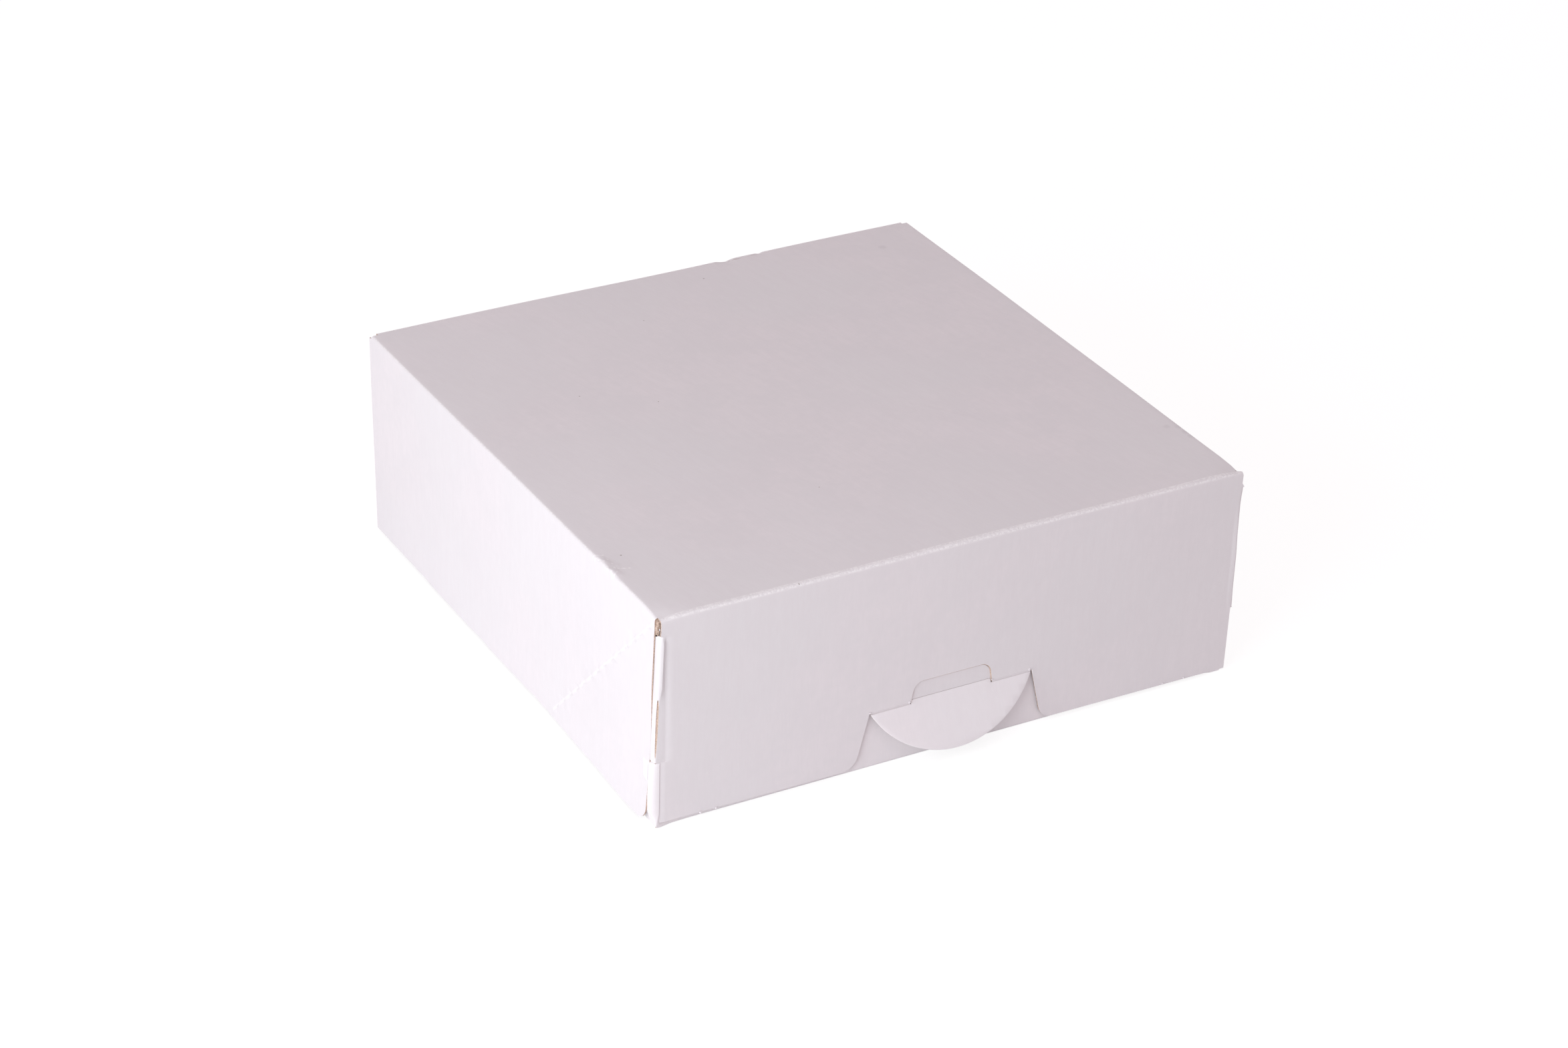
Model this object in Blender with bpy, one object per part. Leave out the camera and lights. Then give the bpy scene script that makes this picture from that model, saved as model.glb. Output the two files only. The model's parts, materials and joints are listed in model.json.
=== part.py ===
"""A square cake box of thin coated board, folded from one sheet and closed.

Every panel between two creases is a piece of its own. A panel is drawn flat, as it lies in the
sheet, scored across its fold and then folded up, and Solidify gives it the board's thickness.
Metres, +Z up. The front faces -Y. The origin is on the table, at the middle of the plan.
"""

import math

import bmesh
import bpy
from mathutils import Matrix, Vector

# Box, measured over the lid
box_width = 0.220
box_depth = 0.220
box_height = 0.079

# Board and folds
board = 0.0005
crease_radius = 0.0011
seam_gap = 0.0003
lid_play = 0.0003
fold_steps = 5

# Lid flaps
flap_foot = 0.002
front_edge_inset = 0.0018
side_setback = 0.0025
side_corner_radius = 0.005
side_back_taper = 0.0015
gusset_flare = math.radians(3.0)

# Glue tabs of the lid, on the ends of its front flap
lid_tab_drop = 0.007
lid_tab_foot = 0.025
lid_tab_length = 0.018
lid_tab_taper = 0.006

# Glue tabs of the tray, on the ends of its front and back walls
tray_tab_foot = 0.0025
tray_tab_drop = 0.004
tray_tab_length = 0.018
tray_tab_taper = 0.004
tab_margin = 0.001

# Lock tab, on the crease that it swings about
lock_height = 0.022
lock_half_width = 0.031
lock_reach = 0.0191
lock_tilt = math.radians(20.0)
lock_root_height = 0.0011
hinge_slack = 0.0001

# Tongue above the crease, and the hump that it leaves in the flap
hump_half_width = 0.0153
hump_rise = 0.0073
hump_radius = 0.0035
tongue_inset = 0.00045

# Notch round the lock tab in the flap's lower edge
notch_slope = math.radians(14.0)
notch_radius = 0.0059

# Slot in the tray's front wall, which the tongue swings into
slot_margin = 0.001
slot_radius = 0.0015
cutter_overrun = 0.0005

# Back crease, which the lid swings about
hinge_radius = 0.0006

arc_steps = 6
lock_arc_steps = 40
bead_sides = 16

# Places that follow from the sizes
fold_length = crease_radius * math.pi / 2
half_width = box_width / 2
front = -box_depth / 2
back = box_depth / 2
lid_tab_plane = half_width - board - seam_gap
tray_half_width = lid_tab_plane - board - lid_play
wall_half_width = tray_half_width - board - seam_gap
tray_front = front + tongue_inset + board + seam_gap
tray_back = back
wall_top = box_height - board - seam_gap
diagonal_gap = seam_gap / math.sqrt(2)
tongue_half_width = hump_half_width - seam_gap
tongue_top = lock_height + hump_rise - seam_gap
hinge_place = Vector((0, back - hinge_radius, box_height - hinge_radius))
lock_place = Vector((0, front + board / 2, lock_height))

board_colour = (0.82, 0.80, 0.82, 1.0)
board_roughness = 0.55

X = Vector((1, 0, 0))
Y = Vector((0, 1, 0))
Z = Vector((0, 0, 1))


def clear_scene():
    for obj in list(bpy.data.objects):
        bpy.data.objects.remove(obj, do_unlink=True)


def board_material(name):
    material = bpy.data.materials.new(name + "_board")
    material.use_nodes = True
    shader = material.node_tree.nodes["Principled BSDF"]
    shader.inputs["Base Color"].default_value = board_colour
    shader.inputs["Roughness"].default_value = board_roughness
    shader.inputs["Metallic"].default_value = 0.0
    material.diffuse_color = board_colour
    return material


def swing_point(name, place):
    """An empty on a crease, which carries the panels that swing about it."""
    empty = bpy.data.objects.new(name, None)
    empty.location = place
    bpy.context.scene.collection.objects.link(empty)
    return empty


def new_object(name, mesh, carrier):
    """Links the mesh as an object. A mesh that is carried is kept relative to its carrier."""
    obj = bpy.data.objects.new(name, mesh)
    obj.data.materials.append(board_material(name))
    bpy.context.scene.collection.objects.link(obj)
    if carrier:
        mesh.transform(Matrix.Translation(-carrier.location))
        obj.parent = carrier
    return obj


def panel(name, outline, place, outward, scores=(), turn=None, carrier=None):
    """Draws a panel flat, scores it at the given distances from its fold, and folds it into place.

    place turns a point of the flat sheet into a point in the box. outward is a side that the
    panel's printed face looks towards, so that its thickness goes to the other side.
    """
    sheet = bmesh.new()
    sheet.faces.new([sheet.verts.new((along, away, 0)) for along, away in outline])
    for score in scores:
        geometry = sheet.verts[:] + sheet.edges[:] + sheet.faces[:]
        bmesh.ops.bisect_plane(sheet, geom=geometry, plane_co=(0, score, 0), plane_no=Y)
    for vert in sheet.verts:
        vert.co = place(vert.co.x, vert.co.y)
    if turn:
        sheet.transform(turn)
    sheet.normal_update()
    largest = max(sheet.faces, key=lambda face: face.calc_area())
    if largest.normal.dot(outward) < 0:
        bmesh.ops.reverse_faces(sheet, faces=sheet.faces[:])
    mesh = bpy.data.meshes.new(name)
    sheet.to_mesh(mesh)
    sheet.free()
    obj = new_object(name, mesh, carrier)
    thickness = obj.modifiers.new("board", "SOLIDIFY")
    thickness.thickness = board
    thickness.offset = -1
    thickness.use_even_offset = True
    return obj


def folded(corner, along, out, onward):
    """The fold from a carrying panel that points out into a panel that goes onward.

    corner is where the two outer faces would meet. A flat point is so far along the crease and
    so far away from the start of the fold.
    """
    centre = corner + (onward - out) * crease_radius

    def place(distance_along, away):
        shift = along * distance_along
        if away >= fold_length:
            return corner + shift + onward * (crease_radius + away - fold_length)
        angle = away / crease_radius
        return centre + shift + (out * math.sin(angle) - onward * math.cos(angle)) * crease_radius

    return place


def fold_scores():
    return [fold_length * step / fold_steps for step in range(1, fold_steps + 1)]


def drop(height):
    """The flat distance from the top crease to a height on a flap of the lid."""
    return fold_length + box_height - crease_radius - height


def rise(height):
    """The flat distance from the bottom crease to a height on a wall of the tray."""
    return fold_length + height - crease_radius


def arc(centre, radius, start, end, steps=arc_steps):
    """Points on an arc, its ends included, in flat coordinates."""
    angles = [start + (end - start) * step / steps for step in range(steps + 1)]
    return [(centre[0] + radius * math.cos(a), centre[1] + radius * math.sin(a)) for a in angles]


def mirrored(half_outline):
    """Closes the right half of an outline with its left half."""
    return half_outline + [(-along, away) for along, away in reversed(half_outline)]


def rectangle(low_x, high_x, low_y, high_y):
    return [(low_x, low_y), (high_x, low_y), (high_x, high_y), (low_x, high_y)]


def flare_turn(side):
    """Swings a lid corner out about its diagonal crease, which starts at the top front corner."""
    pivot = Vector((side * half_width, front, box_height))
    turning = Matrix.Rotation(side * gusset_flare, 4, Z - Y)
    return Matrix.Translation(pivot) @ turning @ Matrix.Translation(-pivot)


def flare_at(height):
    """How far the flared corner stands out at its front edge."""
    return (box_height - height) / math.sqrt(2) * math.sin(gusset_flare)


def lid_top(carrier):
    edge = crease_radius + seam_gap
    rear = hinge_place.y - hinge_radius - seam_gap
    outline = rectangle(-half_width + edge, half_width - edge, front + edge, rear)
    panel("lid_top", outline, lambda x, y: Vector((x, y, box_height)), Z, carrier=carrier)


def notch_and_hump():
    """Half of the flap's lower edge, from the notch's rounded foot up to the top of the hump."""
    crease = lock_height + hinge_slack
    notch_top = lock_half_width + seam_gap
    notch_foot = notch_top + (crease - flap_foot) * math.tan(notch_slope)
    tangent = notch_radius * math.tan((math.pi / 2 - notch_slope) / 2)
    centre = (notch_foot + tangent, drop(flap_foot + notch_radius))
    foot = arc(centre, notch_radius, math.pi / 2, math.pi - notch_slope)
    hump_top = lock_height + hump_rise
    hump_centre = (hump_half_width - hump_radius, drop(hump_top - hump_radius))
    hump = arc(hump_centre, hump_radius, 0, -math.pi / 2)
    return foot + [(notch_top, drop(crease)), (hump_half_width, drop(crease))] + hump


def lid_front_flap(carrier):
    tab_head = box_height - lid_tab_drop
    tab_edge = lid_tab_plane - crease_radius - seam_gap
    head_edge = half_width - crease_radius
    free_edge = half_width - front_edge_inset
    half_outline = [
        (head_edge, 0),
        (head_edge, drop(tab_head)),
        (tab_edge + flare_at(tab_head), drop(tab_head)),
        (tab_edge + flare_at(lid_tab_foot), drop(lid_tab_foot)),
        (free_edge, drop(lid_tab_foot)),
        (free_edge, drop(flap_foot)),
    ] + notch_and_hump()
    place = folded(Vector((0, front, box_height)), X, -Y, -Z)
    panel("lid_front_flap", mirrored(half_outline), place, -Y, fold_scores(), carrier=carrier)


def lid_side_flap(name, side, carrier):
    start = front + side_setback
    diagonal_end = front + box_height - flap_foot + diagonal_gap
    outline = [
        (start, 0),
        (start, drop(box_height - side_setback + diagonal_gap)),
        (diagonal_end, drop(flap_foot)),
        (back - side_back_taper, drop(flap_foot)),
        (back, 0),
    ]
    place = folded(Vector((side * half_width, 0, box_height)), Y, X * side, -Z)
    panel(name, outline, place, X * side, fold_scores(), carrier=carrier)


def lid_gusset(name, side, carrier):
    start = front + side_setback
    centre = (start + side_corner_radius, flap_foot + side_corner_radius)
    corner = arc(centre, side_corner_radius, math.pi, math.pi * 3 / 2)
    diagonal_end = (front + box_height - flap_foot - diagonal_gap, flap_foot)
    outline = [(start, box_height - side_setback - diagonal_gap)] + corner + [diagonal_end]
    plane = side * half_width
    panel(name, outline, lambda y, z: Vector((plane, y, z)), X * side,
          turn=flare_turn(side), carrier=carrier)


def lid_glue_tab(name, side, carrier):
    """A tab folded back from the front flap, glued inside the gusset and flared with it."""
    tab_head = box_height - lid_tab_drop
    diagonal = box_height - tab_margin
    tip = crease_radius + lid_tab_length
    away = fold_length - crease_radius
    outline = [
        (lid_tab_foot, 0),
        (lid_tab_foot, fold_length),
        (lid_tab_foot + lid_tab_taper, away + tip),
        (diagonal - tip, away + tip),
        (tab_head, away + diagonal - tab_head),
        (tab_head, 0),
    ]
    place = folded(Vector((side * lid_tab_plane, front, 0)), Z, X * side, Y)
    panel(name, outline, place, X * side, fold_scores(), flare_turn(side), carrier)


def lock_tab(carrier):
    """The half-moon, with the narrow root that goes up through the crease to the tongue."""
    chord = -board / 2 - hinge_slack
    reach = lock_reach + chord
    radius = (lock_half_width ** 2 + reach ** 2) / (2 * reach)
    half_angle = math.asin(lock_half_width / radius)
    turn_down = -math.pi / 2
    moon = arc((0, radius - lock_reach), radius, turn_down - half_angle, turn_down + half_angle,
               lock_arc_steps)
    root = [
        (tongue_half_width, chord),
        (tongue_half_width, lock_root_height),
        (-tongue_half_width, lock_root_height),
        (-tongue_half_width, chord),
    ]
    face = lock_place.y - board / 2
    tilt = Matrix.Translation(lock_place) @ Matrix.Rotation(-lock_tilt, 4, X)
    tilt = tilt @ Matrix.Translation(-lock_place)
    panel("lock_tab", moon + root, lambda x, z: Vector((x, face, lock_height + z)), -Y,
          turn=tilt, carrier=carrier)


def lock_tongue(carrier):
    """Stands upright behind the hump, one board's thickness in, on the root of the tab."""
    root_top = lock_root_height * math.cos(lock_tilt) + board / 2 * math.sin(lock_tilt)
    foot = lock_height + root_top + seam_gap
    radius = hump_radius - seam_gap
    corner = arc((tongue_half_width - radius, tongue_top - radius), radius, 0, math.pi / 2)
    face = front + tongue_inset
    outline = mirrored([(tongue_half_width, foot)] + corner)
    panel("lock_tongue", outline, lambda x, z: Vector((x, face, z)), -Y, carrier=carrier)


def tray_base():
    edge = crease_radius + seam_gap
    across = wall_half_width - edge
    outline = rectangle(-across, across, tray_front + edge, tray_back - edge)
    panel("tray_base", outline, lambda x, y: Vector((x, y, 0)), -Z)


def slot_cutter():
    """Cuts the slot that the tongue swings into: as wide and tall as its sweep, with a margin."""
    half = tongue_half_width + slot_margin
    foot = lock_height - tongue_inset - board / 2 - slot_margin
    top = tongue_top + slot_margin
    side = arc((half - slot_radius, foot + slot_radius), slot_radius, -math.pi / 2, 0)
    side += arc((half - slot_radius, top - slot_radius), slot_radius, 0, math.pi / 2)
    cutter = bmesh.new()
    near = tray_front - cutter_overrun
    far = tray_front + board + cutter_overrun
    face = cutter.faces.new([cutter.verts.new((x, near, z)) for x, z in mirrored(side)])
    swept = bmesh.ops.extrude_face_region(cutter, geom=[face])
    moved = [item for item in swept["geom"] if isinstance(item, bmesh.types.BMVert)]
    bmesh.ops.translate(cutter, verts=moved, vec=Y * (far - near))
    bmesh.ops.recalc_face_normals(cutter, faces=cutter.faces[:])
    mesh = bpy.data.meshes.new("slot_cutter")
    cutter.to_mesh(mesh)
    cutter.free()
    obj = bpy.data.objects.new("slot_cutter", mesh)
    bpy.context.scene.collection.objects.link(obj)
    obj.hide_render = True
    obj.display_type = "WIRE"
    return obj


def tray_front_wall():
    edge = tray_half_width - crease_radius - seam_gap
    place = folded(Vector((0, tray_front, 0)), X, -Y, Z)
    wall = panel("tray_front_wall", rectangle(-edge, edge, 0, rise(wall_top)), place, -Y,
                 fold_scores())
    slot = wall.modifiers.new("slot", "BOOLEAN")
    slot.operation = "DIFFERENCE"
    slot.solver = "EXACT"
    slot.object = slot_cutter()


def tray_back_wall():
    edge = tray_half_width - crease_radius - seam_gap
    top = hinge_place.z - hinge_radius - seam_gap
    place = folded(Vector((0, tray_back, 0)), X, Y, Z)
    panel("tray_back_wall", rectangle(-edge, edge, 0, rise(top)), place, Y, fold_scores())


def tray_side_wall(name, side):
    """The middle of a tray side, between the diagonal creases that rise from its ends."""
    ends = crease_radius + diagonal_gap
    reach = wall_top + diagonal_gap
    outline = [
        (tray_front + ends, 0),
        (tray_back - ends, 0),
        (tray_back - ends, fold_length),
        (tray_back - reach, rise(wall_top)),
        (tray_front + reach, rise(wall_top)),
        (tray_front + ends, fold_length),
    ]
    place = folded(Vector((side * wall_half_width, 0, 0)), Y, X * side, Z)
    panel(name, outline, place, X * side, fold_scores())


def tray_gusset(name, side, end, inward):
    """The triangle above a diagonal crease, glued to the tab of the front or back wall."""
    outline = [
        (crease_radius, crease_radius + diagonal_gap),
        (crease_radius, wall_top),
        (wall_top - diagonal_gap, wall_top),
    ]
    plane = side * wall_half_width
    panel(name, outline, lambda depth, z: Vector((plane, end + inward * depth, z)), X * side)


def tray_glue_tab(name, side, end, inward):
    """Folds round the tray's corner from the front or back wall and lies outside the gusset."""
    head = wall_top - tray_tab_drop
    tip = fold_length + tray_tab_length
    outline = [
        (tray_tab_foot, 0),
        (tray_tab_foot, fold_length),
        (tray_tab_foot + tray_tab_length + tab_margin, tip),
        (head - tray_tab_taper, tip),
        (head, fold_length),
        (head, 0),
    ]
    place = folded(Vector((side * tray_half_width, end, 0)), Z, X * side, Y * inward)
    panel(name, outline, place, X * side, fold_scores())


def back_crease():
    """The rounded fold along the top of the back wall, centred on the line the lid turns about."""
    bead = bmesh.new()
    half_length = tray_half_width - crease_radius
    turn = Matrix.Translation(hinge_place) @ Matrix.Rotation(math.pi / 2, 4, Y)
    bmesh.ops.create_cone(bead, cap_ends=True, segments=bead_sides, radius1=hinge_radius,
                          radius2=hinge_radius, depth=half_length * 2, matrix=turn)
    mesh = bpy.data.meshes.new("back_crease")
    bead.to_mesh(mesh)
    bead.free()
    mesh.shade_smooth()
    mesh.set_sharp_from_angle(angle=math.radians(30))
    new_object("back_crease", mesh, None)


def build_tray():
    tray_base()
    tray_front_wall()
    tray_back_wall()
    back_crease()
    for side_name, side in (("left", -1), ("right", 1)):
        tray_side_wall(f"tray_{side_name}_wall", side)
        for end_name, end, inward in (("front", tray_front, 1), ("back", tray_back, -1)):
            tray_gusset(f"tray_{end_name}_{side_name}_gusset", side, end, inward)
            tray_glue_tab(f"tray_{end_name}_{side_name}_glue_tab", side, end, inward)


def build_lid(carrier):
    lid_top(carrier)
    lid_front_flap(carrier)
    for side_name, side in (("left", -1), ("right", 1)):
        lid_side_flap(f"lid_{side_name}_flap", side, carrier)
        lid_gusset(f"lid_{side_name}_gusset", side, carrier)
        lid_glue_tab(f"lid_{side_name}_glue_tab", side, carrier)


def main():
    clear_scene()
    lid_hinge = swing_point("lid_hinge", hinge_place)
    lock_hinge = swing_point("lock_hinge", lock_place)
    build_tray()
    build_lid(lid_hinge)
    lock_tab(lock_hinge)
    lock_tongue(lock_hinge)


main()
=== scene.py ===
import json
import math

import bmesh
import bpy
from bpy.props import FloatProperty, FloatVectorProperty, IntProperty, PointerProperty
from mathutils import Matrix, Vector, noise


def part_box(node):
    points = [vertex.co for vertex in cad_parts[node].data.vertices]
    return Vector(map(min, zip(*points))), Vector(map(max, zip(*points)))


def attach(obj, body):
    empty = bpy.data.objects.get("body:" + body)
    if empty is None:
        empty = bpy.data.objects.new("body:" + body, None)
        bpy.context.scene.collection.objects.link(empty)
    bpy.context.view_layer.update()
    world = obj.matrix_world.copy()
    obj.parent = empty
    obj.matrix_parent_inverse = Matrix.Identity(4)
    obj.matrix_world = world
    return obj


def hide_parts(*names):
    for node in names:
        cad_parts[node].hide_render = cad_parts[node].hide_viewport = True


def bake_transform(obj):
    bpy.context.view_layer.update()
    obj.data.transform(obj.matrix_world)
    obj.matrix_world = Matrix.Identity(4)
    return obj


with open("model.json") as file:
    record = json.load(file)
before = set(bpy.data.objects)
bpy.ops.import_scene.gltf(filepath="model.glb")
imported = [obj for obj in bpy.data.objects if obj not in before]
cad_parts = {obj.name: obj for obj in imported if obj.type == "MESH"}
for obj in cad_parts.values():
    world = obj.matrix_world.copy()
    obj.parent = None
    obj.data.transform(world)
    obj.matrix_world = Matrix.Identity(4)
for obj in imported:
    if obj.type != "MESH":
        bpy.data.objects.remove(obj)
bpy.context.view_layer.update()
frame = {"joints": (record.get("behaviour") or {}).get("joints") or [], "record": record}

bl_info = {
    "name": "Cake box",
    "version": (1, 0, 0),
    "blender": (4, 5, 0),
    "location": "View3D > Sidebar > Cake box",
    "description": "Folds a white-lined board cake box round its packed frame",
    "category": "Object",
}

X = Vector((1, 0, 0))
Y = Vector((0, 1, 0))
Z = Vector((0, 0, 1))

# Planes of the folded box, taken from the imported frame
half_width = -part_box("lid_left_flap")[0].x
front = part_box("lid_front_flap")[0].y
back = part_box("tray_back_wall")[1].y
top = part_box("lid_top")[1].z
lid_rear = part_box("lid_top")[1].y
flap_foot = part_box("lid_front_flap")[0].z
side_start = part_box("lid_left_gusset")[0].y
tray_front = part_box("tray_front_wall")[0].y
wall_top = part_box("tray_front_wall")[1].z
back_wall_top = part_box("tray_back_wall")[1].z

# Points closer together than this count as one place
same_place = 2e-5

# Heights at which the panels are scored besides their grid, so that the corners can bend
lid_heights = (0.0035, 0.0222, 0.0227, 0.0234, 0.0245, 0.028, 0.0465, 0.05, 0.0535, 0.069,
               0.0715, 0.0745)
tray_heights = (0.0018, 0.0028, 0.004, 0.0055, 0.0222, 0.0243, 0.0254, 0.0265, 0.0277)

# Without a seed of its own, Blender's noise vector starts from the clock
noise_seed = 5

# Dents in the back edge, as x, reach and depth, the lines scored for them, and nicks along y
back_dents = ((0.0315, 0.0038, 0.0005), (0.046, 0.0018, 0.0003))
back_dent_lines = (0.028, 0.030, 0.032, 0.034, 0.0445, 0.046, 0.0475)
side_nicks = (0.067, 0.020, -0.021, -0.072)

# Marks of wear and of the die, and darker patches on the top, as places on the box with their sizes
lid_nubs = (((-0.09375, -0.1101, 0.0024), 0.00042), ((-0.088, -0.1101, 0.0024), 0.0004),
            ((0.0858, -0.1098, 0.0019), 0.0003), ((0.0944, -0.1098, 0.0018), 0.0003),
            ((-0.0163, -0.1101, 0.0227), 0.00045), ((0.0303, -0.1101, 0.0227), 0.00045),
            ((-0.0313, -0.1101, 0.0226), 0.0004), ((0.0156, -0.1101, 0.0228), 0.00035))
lip_corner = Vector((-0.1092, -0.1089, 0.0755))
specks = (((-0.0649, 0.0353, top), 0.0003), ((-0.0423, 0.0199, top), 0.0003),
          ((0.0177, 0.0990, top), 0.00035), ((-0.0181, 0.0776, top), 0.00025),
          ((-0.1024, -0.0691, top), 0.0004), ((-0.0228, -0.0576, top), 0.00025),
          ((-0.0599, -0.1098, top - 0.0003), 0.0003), ((0.0220, -0.1098, top - 0.0003), 0.00025),
          ((-0.1078, -0.1090, top - 0.001), 0.0003), ((-0.1066, -0.1094, top - 0.001), 0.00022))
dark_patches = (((0.0902, 0.0936, top), 0.0012), ((0.1093, -0.0745, top), 0.0012),
           ((0.1093, -0.0785, top), 0.0012), ((0.1093, -0.0820, top), 0.0011),
           ((0.1055, -0.0725, top), 0.0009))

# Fine lines drawn on the top: those round the blister, painted as highlight, and a curved ridge
blister_lines = (((-0.1108, -0.0650), (-0.1077, -0.0665), (-0.1075, -0.0729),
                  (-0.1085, -0.0784), (-0.1112, -0.0801)),
                 ((-0.1105, -0.0665), (-0.1092, -0.0707), (-0.1100, -0.0772), (-0.1112, -0.0801)),
                 ((-0.1071, -0.0763), (-0.1036, -0.0776)))
ridge_centre, ridge_middle = (-0.0539, -0.0990), (0.0479, -0.0372)
ridge_radius, ridge_width = 0.1190, 0.0016


def length(name, description, default):
    return FloatProperty(name=name, description=description, default=default, min=0,
                         unit="LENGTH", subtype="DISTANCE", precision=5)


def angle(name, description, degrees):
    return FloatProperty(name=name, description=description, default=math.radians(degrees),
                         subtype="ANGLE")


def plain_number(name, description, default, **settings):
    return FloatProperty(name=name, description=description, default=default, **settings)


def place_in_room(name, description, default):
    return FloatVectorProperty(name=name, description=description, default=default,
                               subtype="TRANSLATION")


def colour(name, description, default):
    return FloatVectorProperty(name=name, description=description, default=default, size=3,
                               min=0, max=1, subtype="COLOR")


class BoardSettings(bpy.types.PropertyGroup):
    """The white-lined board that the whole box is cut from."""

    thickness: length("Thickness", "Thickness of the board", 0.0005)
    crease_radius: length("Crease radius", "Radius of a fold's outer face", 0.0011)
    layer_gap: length("Layer gap", "Gap between layers that lie together", 0.0003)
    fold_steps: IntProperty(name="Fold steps", description="Facets across one fold", default=6,
                            min=1)
    grid: length("Grid", "Spacing of the lines that let a panel warp", 0.006)
    warp: length("Warp", "How far a panel bows out of true", 0.0003)
    splay: length("Splay", "How far the walls lean out at the top and in at the foot", 0.0004)
    coating: colour("Coating", "Colour of the coated outer face", (0.83, 0.79, 0.815))
    # Painted light: the tray and the lock tab take a lighter copy of the coating, standing in for
    # the light that reaches them
    clean: plain_number("Clean", "How much lighter the tray and the lock tab are", 1.09)
    inside: colour("Inside", "Colour of the plain inner face", (0.78, 0.745, 0.72))
    core: colour("Core", "Colour of the cut edges", (0.60, 0.46, 0.38))
    # This light colour serves the cracked creases, partly as painted highlight, and the painted
    # highlights on the perforation and the blister
    cracked_and_highlight: colour("Cracked and highlight", "Colour of the coating where a fold has cracked it",
                    (0.99, 0.97, 0.98))


class LidSettings(bpy.types.PropertyGroup):
    """Flaps, gussets and glue tabs of the lid."""

    tab_head: length("Tab head", "Height of the glue tab's upper end", 0.0729)
    tab_foot: length("Tab foot", "Height of the glue tab's lower end", 0.0255)
    tab_length: length("Tab length", "How far back the glue tab reaches", 0.018)
    free_inset: length("Free edge inset", "How far the flap's free edge stands in", 0.0015)
    corner_radius: length("Corner radius", "Rounding of the gusset's lower corner", 0.0065)
    back_taper: length("Back taper", "How far the side flap's foot stands forward", 0.0015)
    flare_left: angle("Left flare", "How far the left gusset swings out", 3)
    flare_right: angle("Right flare", "How far the right gusset swings out", 1)
    roll: length("Roll", "How far the left corner's fold bulges", 0.0005)
    groove: length("Groove", "Depth of the groove beside the left corner's roll", 0.0005)
    crush: length("Crush", "How far the top's front corners are pressed down", 0.0009)
    foot_slope: plain_number("Foot slope", "Rise of the front flap's foot", 0.0055)
    side_drop: length("Side drop", "How much lower the side flaps reach", 0.0011)
    ridge: length("Ridge", "Height of the ridge along the perforation", 0.0002)
    slit_pitch: length("Slit pitch", "Spacing of the perforation along its crease", 0.0071)
    slit_start: length("Slit start", "Distance of the first slit from the corner", 0.0088)
    slit_depth: length("Slit depth", "How far a slit is dented in", 0.00022)


class LockSettings(bpy.types.PropertyGroup):
    """The half-moon lock tab, its tongue and the notch round them."""

    height: length("Height", "Height of the tab's crease", 0.022)
    half_width: length("Half width", "Half of the tab's width at its crease", 0.031)
    reach: length("Reach", "How far the tab reaches below its crease", 0.0191)
    root: length("Root", "How far the tab's middle stands above its crease", 0.0011)
    tilt: angle("Tilt", "How far the tab stands out", 20)
    slack: length("Slack", "Gap along the crease", 0.0001)
    gap: length("Gap", "Gap between the tongue and the hump", 0.0003)
    hump_half: length("Hump half width", "Half of the hump's width at its foot", 0.0155)
    hump_taper: length("Hump taper", "How much narrower each side of the hump ends", 0.0013)
    hump_rise: length("Hump rise", "Height of the hump over the crease", 0.0073)
    hump_radius: length("Hump radius", "Rounding of the hump's corners", 0.003)
    tongue_inset: length("Tongue inset", "How far the tongue stands behind the flap", 0.00045)
    notch_slope: angle("Notch slope", "Lean of the notch's sides", 14)
    notch_radius: length("Notch radius", "Rounding of the notch's feet", 0.0059)
    lip: length("Lip", "Width of the bevel round the die-cut edges", 0.00033)


class StageSettings(bpy.types.PropertyGroup):
    """Camera, lamps and floor."""

    lens: plain_number("Lens", "Focal length", 90.8, unit="CAMERA")
    camera_place: place_in_room("Camera place", "Where the camera stands",
                                (-0.6086, -1.0446, 0.7071))
    camera_turn: FloatVectorProperty(
        name="Camera turn", description="How the camera is turned", subtype="EULER",
        default=(math.radians(60.7454), math.radians(-1.6813), math.radians(-29.1855)))
    key_power: plain_number("Key power", "Power of the lamp at the left", 6.15, unit="POWER")
    key_place: place_in_room("Key place", "Where the key lamp stands", (-0.86, -0.41, 0.34))
    key_size: length("Key size", "Side of the key lamp", 0.7)
    sky: plain_number("Sky", "Strength of the even light", 0.53, min=0)


class CakeBoxSettings(bpy.types.PropertyGroup):
    """Everything that a user would change on the box."""

    board: PointerProperty(type=BoardSettings, name="Board", description="The board")
    lid: PointerProperty(type=LidSettings, name="Lid", description="The lid")
    lock: PointerProperty(type=LockSettings, name="Lock", description="The lock")
    stage: PointerProperty(type=StageSettings, name="Stage", description="The stage")


# Drawing and folding a sheet


def select_only(*pieces):
    """Selects the pieces and makes the last one active."""
    bpy.ops.object.select_all(action="DESELECT")
    for piece in pieces:
        piece.select_set(True)
    bpy.context.view_layer.objects.active = pieces[-1]


def settle(piece, size=(1, 1, 1), turn=(0, 0, 0)):
    """Applies the new piece's place, size and turn to its mesh."""
    piece.scale = size
    piece.rotation_euler = turn
    bpy.ops.object.transform_apply(location=True, rotation=True, scale=True)


def flat_sheet(name, low_x, high_x, low_y, high_y, height):
    """A sheet of board lying level, open for shaping in edit mode."""
    bpy.ops.object.select_all(action="DESELECT")
    bpy.ops.mesh.primitive_plane_add(
        size=1, location=((low_x + high_x) / 2, (low_y + high_y) / 2, height))
    sheet = bpy.context.object
    sheet.name = name
    settle(sheet, (high_x - low_x, high_y - low_y, 1))
    bpy.ops.object.mode_set(mode="EDIT")
    return sheet


def middle(item):
    if isinstance(item, bmesh.types.BMVert):
        return item.co.copy()
    return sum((vert.co for vert in item.verts), Vector()) / len(item.verts)


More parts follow.
